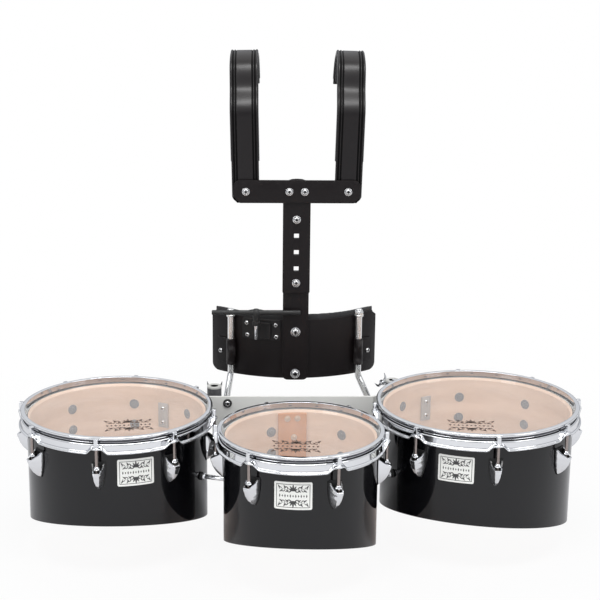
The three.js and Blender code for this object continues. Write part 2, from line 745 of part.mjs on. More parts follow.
// Rings of a round bar along points in the upright plane of a given heading
function bentBar(points, origin, direction, radius, sides) {
  return skin(points.map(([out, z], i) => {
    const before = points[Math.max(i - 1, 0)];
    const after = points[Math.min(i + 1, points.length - 1)];
    const tangent = new THREE.Vector2(after[0] - before[0], after[1] - before[1]).normalize();
    return Array.from({ length: sides }, (_, k) => {
      const angle = (360 * (k + 0.5)) / sides;
      const inPlane = radius * cosine(angle);
      const aside = radius * sine(angle);
      const reach = out + tangent.y * inPlane;
      return new THREE.Vector3(
        origin.x + direction.x * reach - direction.y * aside,
        origin.y + direction.y * reach + direction.x * aside,
        z - tangent.x * inPlane);
    });
  }), Array.from({ length: sides }, (_, k) => new THREE.Vector2(
    cosine((360 * (k + 0.5)) / sides), sine((360 * (k + 0.5)) / sides))));
}

// J-rod: straight in its sleeve, cranked forwards below it, then hooked up into its receiver.
// reach is its distance from the sleeve's axis, and the hook's width leaves the crank's run.
function jRod({ side, x, y }) {
  const origin = new THREE.Vector2(side * sleeveDistanceAside, sleeveY);
  const direction = new THREE.Vector2(x, y).sub(origin);
  const reach = direction.length();
  direction.normalize();
  const hookCentre = reach - jRodHookRadius;
  const hookHeight = barTop - jRodHookDepth + jRodHookRadius;
  const crankCentre = jRodCrankRadius;
  const crankTop = sleeveBottom - jRodCrankDepth;
  const crank = [0, 0.5, 1].map((share) => {
    const angle = share * jRodCrankAngle;
    return [crankCentre * (1 - cosine(angle)), crankTop - crankCentre * sine(angle)];
  });
  const hook = Array.from({ length: jRodHookSteps + 1 }, (_, i) => {
    const angle = jRodCrankAngle + (i / jRodHookSteps) * (180 - jRodCrankAngle);
    return [hookCentre - jRodHookRadius * cosine(angle), hookHeight - jRodHookRadius * sine(angle)];
  });
  const points = [[0, jRodTop], ...crank, ...hook, [reach, receiverTop - rodEndDepth]];
  const bar = bentBar(points, origin, direction, jRodRadius, 8);
  const collarTop = jRodTop - collarTopDepth;
  const collar = upright(collarRadius, origin.x, origin.y, collarTop - collarHeight, collarTop, 12);
  return shaped(join([bar, collar]));
}

// Upright arc plate around the belly plate's axis, between two distances and two angles
function arcPlate(inner, outer, from, to, bottom, height, segments) {
  const shape = new THREE.Shape();
  shape.absarc(0, bellyCentreY, outer, radians(from - 90), radians(to - 90), false);
  shape.absarc(0, bellyCentreY, inner, radians(to - 90), radians(from - 90), true);
  return prism(shape, bottom, height, segments);
}

function sleeve({ side }) {
  const tabEnd = sleeveAngle + (sleeveTabLength / bellyRadius) * THREE.MathUtils.RAD2DEG;
  const [from, to] = side < 0 ? [-tabEnd, -sleeveAngle] : [sleeveAngle, tabEnd];
  const inner = bellyRadius + gap;
  const tab = arcPlate(inner, inner + sleeveTabThickness, from, to, sleeveBottom, sleeveHeight, 4);
  const x = side * sleeveDistanceAside;
  const tube = upright(sleeveRadius, x, sleeveY, sleeveBottom, sleeveTop, 16);
  const bore = upright(
    jRodRadius + slideGap, x, sleeveY, sleeveBottom - overrun, sleeveTop + overrun, 16);
  return shaped(join([tube, tab]).subtract(solid(bore)));
}

for (const seat of receivers) {
  place(`${seat.name}_receiver`, receiver(seat), 'darkTube');
  place(`${seat.name}_wing_screw`, wingScrew(seat), 'chrome');
  place(`${seat.name}_j_rod`, jRod(seat), 'chrome');
  place(`${seat.name}_rod_sleeve`, sleeve(seat), 'blackPaint');
}

const bellyHalfAngle = Math.asin(bellyHalfWidth / bellyRadius) * THREE.MathUtils.RAD2DEG;

function bellyPlate() {
  const band = arcPlate(
    bellyRadius - bellyThickness, bellyRadius, -bellyHalfAngle, bellyHalfAngle,
    bellyBottomHeight, bellyHeight, bellySegments);
  const outline = cornered(
    -bellyHalfWidth, bellyHalfWidth, bellyBottomHeight, bellyTop,
    bellyCornerRadius, bellyChamferWidth, true, false);
  const cutter = facingPlate(outline, bellyFront - overrun, bellyRadius);
  return shaped(solid(band).intersect(solid(cutter)));
}

// Foam pad behind the belly plate: flat against it, with a crown and drawn-in edges behind.
// Each ring runs around the pad's section at one angle, and the end rings are thinner.
function bellyPad() {
  const seat = (bellyRadius - bellyThickness) * cosine(bellyHalfAngle / bellySegments) - gap;
  const low = bellyBottomHeight + padTuckDistance;
  const high = bellyTop + padRiseHeight;
  const half = bellyHalfAngle - (padTuckDistance / bellyRadius) * THREE.MathUtils.RAD2DEG;
  // Around the section: share of the height, and whether the crown or the drawn-in edge is there
  const sectionShares = [
    [0, 0], [1, 0], [1, 0.55], [0.93, 0.9], [0.75, 1], [0.5, 1], [0.25, 1], [0.07, 0.9], [0, 0.55],
  ];
  const rings = Array.from({ length: padColumns + 1 }, (_, i) => {
    const along = (2 * i) / padColumns - 1;
    const fullness = Math.sqrt(Math.max(1 - along ** 6, 0.12));
    return sectionShares.map(([up, out]) => {
      const crown = padCrownHeight * (1 - along ** 2) * Math.sin(Math.PI * up);
      const depth = out * (padThickness + crown) * fullness;
      const inset = padDrawInWidth * (1 - fullness);
      const z = THREE.MathUtils.lerp(low + inset, high - inset, up);
      const angle = along * half;
      const distance = seat - depth;
      return new THREE.Vector3(distance * sine(angle), bellyCentreY - distance * cosine(angle), z);
    });
  });
  const outline = sectionShares.map(([up, out]) => new THREE.Vector2(out, up));
  return skin(rings, outline);
}

function squareHoles(shape) {
  for (let i = 0; i < holeCount; i++) {
    const z = topHole - i * holePitchDistance;
    const half = holeWidth / 2;
    shape.holes.push(new THREE.Path([
      new THREE.Vector2(-half, z - half), new THREE.Vector2(-half, z + half),
      new THREE.Vector2(half, z + half), new THREE.Vector2(half, z - half),
    ]));
  }
  return shape;
}

function column() {
  const half = columnWidth / 2;
  const shape = cornered(
    -half, half, bellyBottomHeight - columnFootHeight, crossbarBottomHeight - columnTopDepth,
    columnCornerRadius, columnCornerRadius, true, true);
  return facingPlate(squareHoles(shape), columnFront, columnThickness);
}

function tBar() {
  const half = tBarWidth / 2;
  const shape = cornered(
    -half, half, tBarBottom, crossbarTop + tBarPeekHeight,
    tBarCornerRadius / 4, tBarCornerRadius, true, true);
  return facingPlate(squareHoles(shape), tBarFront, tBarThickness);
}

// Crossbar with the two pins on which the shoulder straps swivel, each with its nut behind
function crossbar() {
  const shape = cornered(
    -crossbarHalfWidth, crossbarHalfWidth, crossbarBottomHeight, crossbarTop,
    crossbarChamferWidth, crossbarCornerRadius, false, true);
  const nutFront = crossbarFront + crossbarThickness + 2 * gap + strapThickness + strapRibHeight;
  const pieces = [facingPlate(shape, crossbarFront, crossbarThickness)];
  for (const side of [-1, 1]) {
    const at = (y) => new THREE.Vector3(side * pivotDistance, y, pivotHeight);
    pieces.push(rod(pivotRadius, at(crossbarFront + crossbarThickness - gap), at(nutFront + gap), 12));
    pieces.push(rod(pivotNutRadius, at(nutFront), at(nutFront + pivotNutHeight), 6));
  }
  return shaped(join(pieces));
}

// Path of a strap's inner face in the upright plane: straight up, then over the shoulder.
// Each stop gives the angle that its outward side has turned from the front.
const strapTop = crossbarBottomHeight + strapHeight;
const archHeight = strapTop - strapArchRadius - strapThickness - strapRibHeight;
const strapInnerY = crossbarFront + crossbarThickness + gap + strapThickness + strapRibHeight;
const archY = strapInnerY + strapArchRadius;

function strapPoint(across, outwards, stop) {
  const reach = strapArchRadius + outwards;
  return new THREE.Vector3(
    across, archY - reach * cosine(stop.angle), stop.z + reach * sine(stop.angle));
}

function archStops(start, endAngle = strapArchAngle) {
  const arch = Array.from(
    { length: strapArchSteps + 1 }, (_, i) => ({ angle: (endAngle * i) / strapArchSteps, z: archHeight }));
  return [{ angle: 0, z: start }, ...arch];
}

// Band with two ribs along each edge, a chamfered foot and a pivot hole
function strap(side) {
  const half = strapWidth / 2;
  const top = strapThickness;
  const crest = strapThickness + strapRibHeight;
  const rightHalf = ribShares.flatMap(([outer, inner]) => [
    [outer, top], [outer - ribFlankShare, crest], [inner + ribFlankShare, crest], [inner, top],
  ]);
  const leftHalf = rightHalf.map(([share, height]) => [-share, height]).reverse();
  const section = [[-1, 0], [1, 0], [1, top], ...rightHalf, ...leftHalf, [-1, top]]
    .map(([share, height]) => new THREE.Vector2(share * half, height));
  const rings = archStops(crossbarBottomHeight).map((stop) => section.map(
    ({ x, y }) => strapPoint(x, y, stop)));
  const foot = new THREE.Shape([
    new THREE.Vector2(side * (half + overrun), crossbarBottomHeight - overrun),
    new THREE.Vector2(side * (half + overrun), crossbarBottomHeight + strapChamferWidth + overrun),
    new THREE.Vector2(side * (half - strapChamferWidth - overrun), crossbarBottomHeight - overrun),
  ]);
  const cutFront = strapInnerY - crest - overrun;
  const hole = rod(
    pivotRadius + slideGap, new THREE.Vector3(0, cutFront, pivotHeight),
    new THREE.Vector3(0, strapInnerY + overrun, pivotHeight), 12);
  const cutFoot = facingPlate(foot, cutFront, crest + 2 * overrun);
  return shaped(solid(skin(rings, section)).subtract(solid(cutFoot)).subtract(solid(hole)));
}

// Foam pad along the strap's inner side, crowned towards the shoulder
function shoulderPad() {
  const half = shoulderPadWidth / 2;
  // Across the pad: share of half its width, of its thickness and of its crown
  const sectionShares = [
    [-0.96, 0, 0], [0.96, 0, 0], [1, 0.3, 0], [0.98, 0.75, 0], [0.86, 1, 0.2], [0.45, 1, 0.8], [0, 1, 1],
    [-0.45, 1, 0.8], [-0.86, 1, 0.2], [-0.98, 0.75, 0], [-1, 0.3, 0],
  ];
  const stops = archStops(crossbarBottomHeight + shoulderPadRiseHeight, strapArchAngle - 1);
  const last = stops.length - 1;
  const rings = stops.map((stop, i) => sectionShares.map(([aside, thick, crown]) => {
    const end = i === 0 || i === last ? shoulderPadEndShare : 1;
    const depth = end * (thick * shoulderPadThickness + crown * shoulderPadCrownHeight);
    return strapPoint(aside * half, -gap - depth, stop);
  }));
  const outline = sectionShares.map(([aside, thick, crown]) => new THREE.Vector2(
    aside * half, -gap - thick * shoulderPadThickness - crown * shoulderPadCrownHeight));
  return skin(rings, outline);
}

place('belly_plate', bellyPlate(), 'blackPaint');
place('belly_pad', bellyPad(), 'foam');
place('column', column(), 'blackPaint');
place('t_bar', tBar(), 'blackPaint');
place('crossbar', crossbar(), 'blackPaint');
for (const [name, side] of [['left', -1], ['right', 1]]) {
  const turned = new THREE.Group();
  turned.position.set(side * pivotDistance, 0, pivotHeight);
  turned.rotation.y = radians(side * strapSplay);
  drumSet.add(turned);
  place(`${name}_shoulder_strap`, strap(side).translate(0, 0, -pivotHeight), 'blackPaint', turned);
  place(`${name}_shoulder_pad`, shoulderPad().translate(0, 0, -pivotHeight), 'foam', turned);
}

// Holder: a plate on the belly plate with an arm and a ring for the key's shaft
function keyHolder() {
  const angleOf = (x) => Math.asin(x / bellyRadius) * THREE.MathUtils.RAD2DEG;
  const inner = bellyRadius + gap;
  const plate = arcPlate(
    inner, inner + holderThickness, angleOf(holderOuterOffset), angleOf(holderInnerOffset),
    holderBottom, holderHeight, 5);
  const half = holderArmWidth / 2;
  const ringBottom = holderRingTop - holderRingHeight;
  const inPlate = (x) => new THREE.Vector2(
    x, bellyCentreY - Math.sqrt((inner + holderThickness / 2) ** 2 - x ** 2));
  const arm = prism([
    new THREE.Vector2(keyOffset - half, keyFront), new THREE.Vector2(keyOffset + half, keyFront),
    inPlate(keyOffset + half), inPlate(keyOffset - half),
  ], ringBottom, holderTop - ringBottom);
  const ring = upright(holderRingRadius, keyOffset, keyFront, ringBottom, holderRingTop, 16);
  const bore = upright(
    keyShaftRadius + slideGap, keyOffset, keyFront, ringBottom - overrun, holderRingTop + overrun, 12);
  return shaped(join([plate, arm, ring]).subtract(solid(bore)));
}

function tuningKey() {
  const hubBottom = holderRingTop + gap;
  const end = (side) => new THREE.Vector3(
    keyOffset + (side * keyHandleLength) / 2, keyFront, keyHandleHeight);
  return shaped(join([
    rod(keyHandleRadius, end(-1), end(1), 12),
    upright(keyHubTipRadius, keyOffset, keyFront, hubBottom, keyHandleHeight, 12, keyHubRadius),
    upright(keyTipRadius, keyOffset, keyFront, keyTipHeight, hubBottom + gap, 12, keyShaftRadius),
  ]));
}

place('key_holder', keyHolder(), 'blackPaint');
place('tuning_key', tuningKey(), 'rubber');

// The finished set stands with the middle of its footprint at the origin
const assembly = new THREE.Group();
assembly.add(drumSet);
const extent = new THREE.Box3().setFromObject(drumSet, true);
const middle = extent.getCenter(new THREE.Vector3());
drumSet.position.set(-middle.x, -middle.y, -extent.min.z);

export default assembly;
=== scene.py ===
"""Looks of the marching tenor drums: shells, heads, hoops, lugs, rack, J-rods and carrier.

Shapes are drawn in millimetres around the foot of the centre drum's axis: x to the audience's
right, y away from them, z up. An azimuth is measured from the audience's side towards +x.
"""
import json

import bpy
import numpy as np
from mathutils import Matrix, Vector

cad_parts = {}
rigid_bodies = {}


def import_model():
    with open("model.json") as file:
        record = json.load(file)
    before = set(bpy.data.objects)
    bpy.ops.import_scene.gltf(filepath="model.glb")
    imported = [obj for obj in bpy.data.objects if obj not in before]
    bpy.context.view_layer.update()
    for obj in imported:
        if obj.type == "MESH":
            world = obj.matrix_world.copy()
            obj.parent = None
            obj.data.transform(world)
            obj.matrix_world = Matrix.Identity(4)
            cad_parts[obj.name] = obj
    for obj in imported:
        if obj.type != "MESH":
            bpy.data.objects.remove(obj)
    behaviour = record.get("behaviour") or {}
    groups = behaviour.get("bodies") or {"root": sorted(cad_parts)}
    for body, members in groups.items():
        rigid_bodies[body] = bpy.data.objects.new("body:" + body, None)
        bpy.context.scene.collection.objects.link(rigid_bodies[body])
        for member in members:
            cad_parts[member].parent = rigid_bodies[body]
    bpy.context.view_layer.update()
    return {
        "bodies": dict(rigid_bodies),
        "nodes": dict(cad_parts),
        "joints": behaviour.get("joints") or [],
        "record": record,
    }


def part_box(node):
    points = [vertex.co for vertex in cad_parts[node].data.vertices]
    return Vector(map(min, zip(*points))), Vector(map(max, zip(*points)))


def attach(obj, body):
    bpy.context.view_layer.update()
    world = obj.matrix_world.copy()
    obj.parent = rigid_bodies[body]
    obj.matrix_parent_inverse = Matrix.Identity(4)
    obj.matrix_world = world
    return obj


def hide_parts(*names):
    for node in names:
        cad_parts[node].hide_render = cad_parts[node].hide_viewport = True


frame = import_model()
SCENE = bpy.context.scene
SCENE.view_settings.view_transform = "Standard"
MM = 0.001

# Sizes, as the drum set's solids have them
SHELL_WALL = 6
SHELL_TOP = 234.2
FILM_TOP = 235.5
HOOP_TOP = 245
LUG_TOP = 200
LUG_HEIGHT = 46
ROD_OUT = 14
BAR_FRONT = 244
BELLY_FRONT = 300
BELLY_RADIUS = 200
BELLY_Y = BELLY_FRONT + BELLY_RADIUS
BELLY_AXIS = (0, BELLY_Y)
BELLY_HALF_WIDTH = 152
BELLY_SKIN = 3
BELLY_GAP = 0.3
SLEEVE_X = 117.5
SLEEVE_Y = 327.5
COLUMN_FRONT = 294.7
T_BAR_FRONT = 290.4
CROSSBAR_FRONT = 286.1
PIVOT_X = 90.5
PIVOT_Z = 582.5
STRAP_Y = 295.6
ARCH_RADIUS = 93
ARCH_Z = 722.8
STRAP_FOOT = 562
KEY_X = -71.5
KEY_Y = 285
RECEIVER_FOOT = 175
RECEIVER_RADIUS = 13
SCREW_AXIS_Z = 217
RIGHT_WING_ANGLE = 35  # of the rack bar's right wing
RIGHT_SCREW_TURN = 35  # of the right screw's wings from level
LINK_Z = 137
TOP_HOLE_Z = 531.5
HOLE_PITCH = 30
RACK = "drums_and_rack"


def middle_of(node):
    low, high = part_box(node)
    return np.array([low.x + high.x, low.y + high.y]) / 2 / MM


FOOT = middle_of("centre_shell")


class Drum:
    """One drum: its centre comes from its shell in the frame."""

    def __init__(self, name, radius, badge, badge_height, lugs, cut, slope, print_azimuth,
                 print_out):
        self.name, self.radius, self.badge, self.badge_height = name, radius, badge, badge_height
        self.cut, self.slope = cut, slope
        self.axis = self.x, self.y = middle_of(f"{name}_shell") - FOOT
        self.inside = radius - SHELL_WALL
        self.lugs = badge + (np.arange(lugs) + 0.5) * 360 / lugs
        self.print_azimuth, self.print_out = print_azimuth, print_out


DRUMS = [
    Drum("left", 152.4, 15.6, 181, 8, 0, 0.289, 18.2, 78.9),
    Drum("centre", 127, -7.4, 178, 6, -4.8, 0.346, -9.7, 60.4),
    Drum("right", 165.1, -20, 179, 8, -20, 0.25, -14, 105),
]


# ---- camera and light

def unit(vector):
    vector = np.asarray(vector, float)
    return vector / np.linalg.norm(vector, axis=-1, keepdims=True)


def aim(name, data, place, look, roll=0.0):
    """An object at a place, looking along a direction, rolled around it."""
    forward = unit(look)
    level = unit(np.cross(forward, [0, 0, 1]))
    up = np.cross(level, forward)
    right = np.cos(roll) * level + np.sin(roll) * up
    up = -np.sin(roll) * level + np.cos(roll) * up
    matrix = np.eye(4)
    matrix[:3, 0], matrix[:3, 1], matrix[:3, 2], matrix[:3, 3] = right, up, -forward, place
    holder = bpy.data.objects.new(name, data)
    SCENE.collection.objects.link(holder)
    holder.matrix_world = Matrix(matrix.tolist())
    return holder


def add_camera():
    data = bpy.data.cameras.new("photo_camera")
    data.sensor_width, data.lens = 36, 87.66
    data.clip_end = 50
    pitch, yaw = np.radians([14.9, 2.26])
    look = [np.sin(yaw) * np.cos(pitch), np.cos(yaw) * np.cos(pitch), -np.sin(pitch)]
    SCENE.camera = aim("photo_camera", data, [-0.1008, -2.4230, 1.061], look, np.radians(0.64))


add_camera()


def softbox(name, place, width, height, watts):
    """A rectangular light turned to the drums' middle, in metres and watts."""
    data = bpy.data.lights.new(name, "AREA")
    data.shape, data.size, data.size_y, data.energy = "RECTANGLE", width, height, watts
    aim(name, data, place, np.subtract([0, 0, 0.3], place))


softbox("softbox_over_the_drums", [0.1, -1.0, 2.8], 1.9, 0.75, 42)
softbox("softbox_front_left", [-2.3, -2.3, 1.9], 1.3, 1.5, 22)
softbox("softbox_front_right", [2.4, -1.9, 1.7], 1.1, 1.5, 15)


# ---- shapes: a form is (points, quads, tints), and a quad may repeat a point

def form(grid, close_rows=False, tint=0):
    """Quads between neighbours of a grid of points (rows, columns, 3) whose columns close."""
    rows, columns = grid.shape[:2]
    row = np.arange(rows if close_rows else rows - 1)[:, None]
    column = np.arange(columns)[None, :]
    below, beside = (row + 1) % rows, (column + 1) % columns
    corners = [row * columns + column, row * columns + beside,
               below * columns + beside, below * columns + column]
    quads = np.stack(np.broadcast_arrays(*corners), -1)
    tints = np.broadcast_to(tint, quads.shape[:2]) if np.ndim(tint) != 1 else (
        np.broadcast_to(np.asarray(tint)[:, None], quads.shape[:2]))
    return grid.reshape(-1, 3), quads.reshape(-1, 4), tints.reshape(-1)


def outward(points, quads):
    """Quads turned so that the volume they hold is positive."""
    a, b, c, d = (points[quads[:, k]] for k in range(4))
    volume = np.sum(a * np.cross(b, c)) + np.sum(a * np.cross(c, d))
    return quads if volume > 0 else quads[:, ::-1]


def welded(points, quads, tints):
    """Points within a hundredth of a millimetre become one; a quad that loses a corner becomes
    a triangle, and one that loses two goes."""
    _, first, same = np.unique(
        np.round(points * 100).astype(np.int64), axis=0, return_index=True, return_inverse=True)
    quads = same.reshape(-1)[quads]
    lost = quads == np.roll(quads, -1, axis=1)
    folded = (quads[:, 0] == quads[:, 2]) | (quads[:, 1] == quads[:, 3])
    whole = (lost.sum(1) == 0) & ~folded
    faces, marks = [quads[whole]], [tints[whole]]
    for corner in range(4):
        some = (lost.sum(1) == 1) & lost[:, corner] & ~folded
        faces.append(np.delete(quads[some], corner, axis=1))
        marks.append(tints[some])
    return points[first], faces, marks


def make(name, body, forms, finishes, replaces=(), crease=40):
    """One piece out of closed forms; a form's tint is the index of its finish."""
    points, faces, marks, start = [], [], [], 0
    for place, quads, tints in forms:
        own, own_faces, own_marks = welded(place, outward(place, quads), tints)
        points.append(own)
        faces += [part + start for part in own_faces]
        marks += own_marks
        start += len(own)
    mesh = bpy.data.meshes.new(name)
    place = (np.concatenate(points) + [*FOOT, 0]) * MM
    mesh.from_pydata(place.tolist(), [], [face for part in faces for face in part.tolist()])
    for finish in finishes:
        mesh.materials.append(finish.material)
    mesh.polygons.foreach_set("material_index", np.concatenate(marks).astype(np.int32))
    mesh.shade_smooth()
    mesh.set_sharp_from_angle(angle=np.radians(crease))
    piece = bpy.data.objects.new(name, mesh)
    SCENE.collection.objects.link(piece)
    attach(piece, body)
    if replaces:
        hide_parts(*replaces)
    return piece


def laid(part, axes, at=(0, 0, 0)):
    """A form drawn in its own x, y, z, laid along three axes (rows) at a place."""
    points, quads, tints = part
    return points @ np.asarray(axes, float) + np.asarray(at, float), quads, tints


def moved(part, at):
    return part[0] + np.asarray(at, float), part[1], part[2]


def tinted(part, tint):
    return part[0], part[1], np.full(len(part[1]), tint)


def around(axis, reach, angle, height):
    """Points around an upright axis, at an angle from the audience's side towards +x."""
    return np.stack(np.broadcast_arrays(
        axis[0] + reach * np.sin(angle), axis[1] - reach * np.cos(angle), height), -1)


def sections(count, *corners):
    """Outlines (count, corners, 2) out of (reach, height) pairs: each value is one number, or
    one for every outline."""
    every = np.zeros(count)
    return np.stack([np.stack(np.broadcast_arrays(reach + every, height + every), -1)
                     for reach, height in corners], 1)


def capped(grid):
    """The grid between two more rows that stand at the middles of its first and last."""
    first, last = (np.broadcast_to(row.mean(0), row.shape)[None] for row in (grid[0], grid[-1]))
    return np.concatenate([first, grid, last])


def axes_along(direction):
    """Axes whose z runs along a direction and whose x is level, or along the frame's x where
    the direction is upright."""
    z = unit(direction)
    x = unit(np.cross((0, 1, 0) if abs(z[2]) > 0.99 else (0, 0, 1), z))
    return np.array([x, np.cross(z, x), z])


FACING = np.array([[1, 0, 0], [0, 0, 1], [0, -1, 0]])  # drawn flat, seen by the audience
# the recess tint is a painted shade in the screws' recesses
BRIGHT, RECESS_SHADE_TINT = 1, 2  # tints of screws and of their recesses on a coated piece


def softened(corners, radius, steps=4):
    """Closed outlines (..., corners, 2) whose corners become quadratic curves; each starts and
    ends at the radius from its corner, or half an edge away where that is less."""
    corners = np.asarray(corners, float)
    to_before = np.roll(corners, 1, axis=-2) - corners
    to_after = np.roll(corners, -1, axis=-2) - corners

    def end_of(edge):
        length = np.linalg.norm(edge, axis=-1, keepdims=True)
        reach = np.minimum(np.broadcast_to(radius, length.shape[:-1])[..., None], length / 2)
        return corners + edge * reach / length

    t = np.linspace(0, 1, steps + 1)[:, None]
    start, end = end_of(to_before)[..., None, :], end_of(to_after)[..., None, :]
    curve = (1 - t) ** 2 * start + 2 * t * (1 - t) * corners[..., None, :] + t ** 2 * end
    return curve.reshape(*corners.shape[:-2], -1, 2)


def inset(outline, distance):
    """A closed outline moved inwards along the mitre of each corner's two edges."""
    edge = unit(np.roll(outline, -1, 0) - outline)
    normal = np.stack([edge[:, 1], -edge[:, 0]], -1)
    mitre = unit(normal + np.roll(normal, 1, 0))
    return outline - mitre * (distance / np.maximum((mitre * normal).sum(-1), 0.5))[:, None]


def circling(outline):
    """The outline without doubled points, running against the clock."""
    outline = np.asarray(outline, float)
    outline = outline[np.linalg.norm(outline - np.roll(outline, 1, 0), axis=1) > 1e-6]
    x, y = outline.T
    return outline if np.sum(x * np.roll(y, -1) - y * np.roll(x, -1)) > 0 else outline[::-1]


def slab(outline, thickness, edge, rounds=2, centre=None, tint=0):
    """A flat outline raised to a thickness, with quarter-round edges; both faces close at
    their centre, so every point of the outline is seen from it."""
    outline = circling(outline)
    turn = np.linspace(0, np.pi / 2, rounds + 1)
    inward, height = edge * (1 - np.sin(turn)), edge * (1 - np.cos(turn))
    inward = np.concatenate([inward, inward[::-1]])
    height = np.concatenate([height, thickness - height[::-1]])
    rings = [inset(outline, distance) for distance in inward]
    hub = outline.mean(0) if centre is None else np.asarray(centre, float)
    hubs = [np.tile(hub, (len(outline), 1))]
    rings = np.array(hubs + rings + hubs)
    height = np.concatenate([[0], height, [thickness]])[:, None, None]
    return form(np.concatenate([rings, np.tile(height, (1, len(outline), 1))], -1), tint=tint)


def box_outline(width, height, radius, x=0, y=0):
    corners = np.array([[-1, -1], [1, -1], [1, 1], [-1, 1]]) * [width / 2, height / 2] + [x, y]
    return softened(corners, radius)


def lathe(profile, sides=32, tint=0, lobe=None):
    """A profile of (radius, height) turned around z; it closes on the axis or on itself.
    A lobe makes its row's radius swell four times around."""
    profile = np.asarray(profile, float)
    angle = np.linspace(0, 2 * np.pi, sides, endpoint=False)
    radius = profile[:, :1] * (1 + np.outer(0 if lobe is None else lobe, np.cos(4 * angle)))
    radius = np.broadcast_to(radius, (len(profile), sides))
    height = np.broadcast_to(profile[:, 1:], radius.shape)
    grid = np.stack([radius * np.cos(angle), radius * np.sin(angle), height], -1)
    return form(grid, close_rows=profile[0, 0] > 0, tint=tint)


def round_bar(radius, start, end, edge=0.5, sides=24, tint=0):
    """A round bar with rounded rims between two points."""
    start, end = np.asarray(start, float), np.asarray(end, float)
    length = np.linalg.norm(end - start)
    profile = [(0, 0), (radius - edge, 0), (radius - edge * 0.3, edge * 0.3), (radius, edge),
               (radius, length - edge), (radius - edge * 0.3, length - edge * 0.3),
               (radius - edge, length), (0, length)]
    return laid(lathe(profile, sides, tint), axes_along(end - start), start)


def swept(section, path, side, scales=None, tint=0):
    """A closed section of (across, out) carried along a path of points in a plane. side is the
    direction across the plane, and the ends close at their middles."""
    section, path = np.asarray(section, float), np.asarray(path, float)
    tangent = unit(np.gradient(path, axis=0))
    out = np.cross(tangent, side)
    scales = np.ones(len(path)) if scales is None else np.asarray(scales, float)
    hub = section.mean(0)
    drawn = hub + (section - hub) * scales[:, None, None]
    hubs = np.tile(hub, (1, len(section), 1))
    drawn = np.concatenate([hubs, drawn, hubs])
    path, out = (np.concatenate([rows[:1], rows, rows[-1:]]) for rows in (path, out))
    grid = path[:, None] + drawn[..., :1] * np.asarray(side, float) + drawn[..., 1:] * out[:, None]
    return form(grid, tint=tint)


def circle(radius, sides):
    angle = np.linspace(0, 2 * np.pi, sides, endpoint=False)
    return radius * np.stack([np.cos(angle), np.sin(angle)], -1)


def bolt(radius, height, tint=0, dark=1):
    """A domed screw head on z = 0 with a cross-shaped recess, whose floor has the dark tint, a
    painted shade.
    """
    profile = [(0, 0), (radius, 0), (radius, height * 0.3), (radius * 0.93, height * 0.6),
               (radius * 0.78, height * 0.86), (radius * 0.55, height), (radius * 0.42, height),
               (radius * 0.36, height * 0.45), (0, height * 0.4)]
    return lathe(profile, 40, [tint] * 6 + [dark] * 2, [0, 0, 0, 0, 0, 0, 0.32, 0.32, 0])


def hexagon(across, height, edge=0.5):
    angle = np.radians(np.arange(6) * 60 + 30)
    outline = across / np.sqrt(3) * np.stack([np.cos(angle), np.sin(angle)], -1)
    return slab(softened(outline, 0.6, 2), height, edge)


def turned(a):
    """Axes turned around z by an angle in radians."""
    return [[np.cos(a), np.sin(a), 0], [-np.sin(a), np.cos(a), 0], [0, 0, 1]]


def on_drum(drum, part, azimuth, radius=None, inward=False):
    """A form that faces -y with its seat at y = 0, turned to an azimuth of a drum's wall."""
    a = np.radians(azimuth)
    seat = around(drum.axis, drum.radius if radius is None else radius, a, 0)
    return laid(part, turned(a + (np.pi if inward else 0)), seat)


def wrapped(drum, part, azimuth, radius=None, inward=False):
    """A flat form (x along the wall, y up, z off the wall) bent around a drum's wall."""
    points, quads, tints = part
    radius = drum.radius if radius is None else radius
    way = -1 if inward else 1
    angle = np.radians(azimuth) + points[:, 0] / radius * way
    return around(drum.axis, radius + points[:, 2] * way, angle, points[:, 1]), quads, tints


def sheet(width, height, radius, thickness, x=0.0, y=0.0, edge=0.3, start=0.0, frame=None):
    """A plate as upright strips, so that it can be bent: at each x, its half height is the
    box's, less the corner's arc. A frame (outer, inner) is the band between those distances
    inside the rim, and has the tint 1."""
    half, tall = width / 2, height / 2
    outer, inner = frame or (0.45 * min(width, height), 0.46 * min(width, height))
    arc = half - radius * (1 - np.sin(np.linspace(0, np.pi / 2, 6)))
    across = np.concatenate([np.arange(0, half - radius, 2.5), arc, [half - outer, half - inner]])
    across = np.unique(np.round(np.concatenate([-across, across]), 4))
    into = np.clip(np.abs(across) - half + radius, 0, radius)
    rim = (tall - radius + np.sqrt(radius ** 2 - into ** 2))[:, None]
    up = np.array([tall + edge, tall, tall - outer, tall - inner])
    rows = np.concatenate([-up, up[::-1]])[None]
    rows = np.clip(rows, -rim, rim) * np.where(np.abs(rows) == tall, 1 - edge / rim, 1)
    rows = np.concatenate([rows, rim, -rim], 1)
    depth = np.array([thickness - edge] + [thickness] * 6 + [thickness - edge, start, start])
    grid = np.stack([np.broadcast_to(across[:, None], rows.shape), rows,
                     np.broadcast_to(depth, rows.shape)], -1)
    middle = (np.abs(across[1:] + across[:-1]) / 2)[:, None]
    row = np.arange(10)[None]
    bars = ((row == 2) | (row == 4)) & (middle < half - outer)
    posts = (row == 3) & (middle < half - outer) & (middle > half - inner)
    marks = (bars | posts).astype(int) * (frame is not None)
    return form(capped(grid) + [x, y, 0], tint=np.pad(marks, ((1, 1), (0, 0))))


# ---- finishes

def group(name, inputs, outputs):
    """An empty node group with named inputs (name, default) and outputs (name, kind)."""
    tree = bpy.data.node_groups.new(name, "ShaderNodeTree")
    for label, default in inputs:
        kind = "NodeSocketColor" if np.ndim(default) else "NodeSocketFloat"
        socket = tree.interface.new_socket(label, in_out="INPUT", socket_type=kind)
        socket.default_value = default
    for label, kind in outputs:
        tree.interface.new_socket(label, in_out="OUTPUT", socket_type=f"NodeSocket{kind}")
    return tree, tree.nodes.new("NodeGroupInput").outputs, tree.nodes.new("NodeGroupOutput").inputs


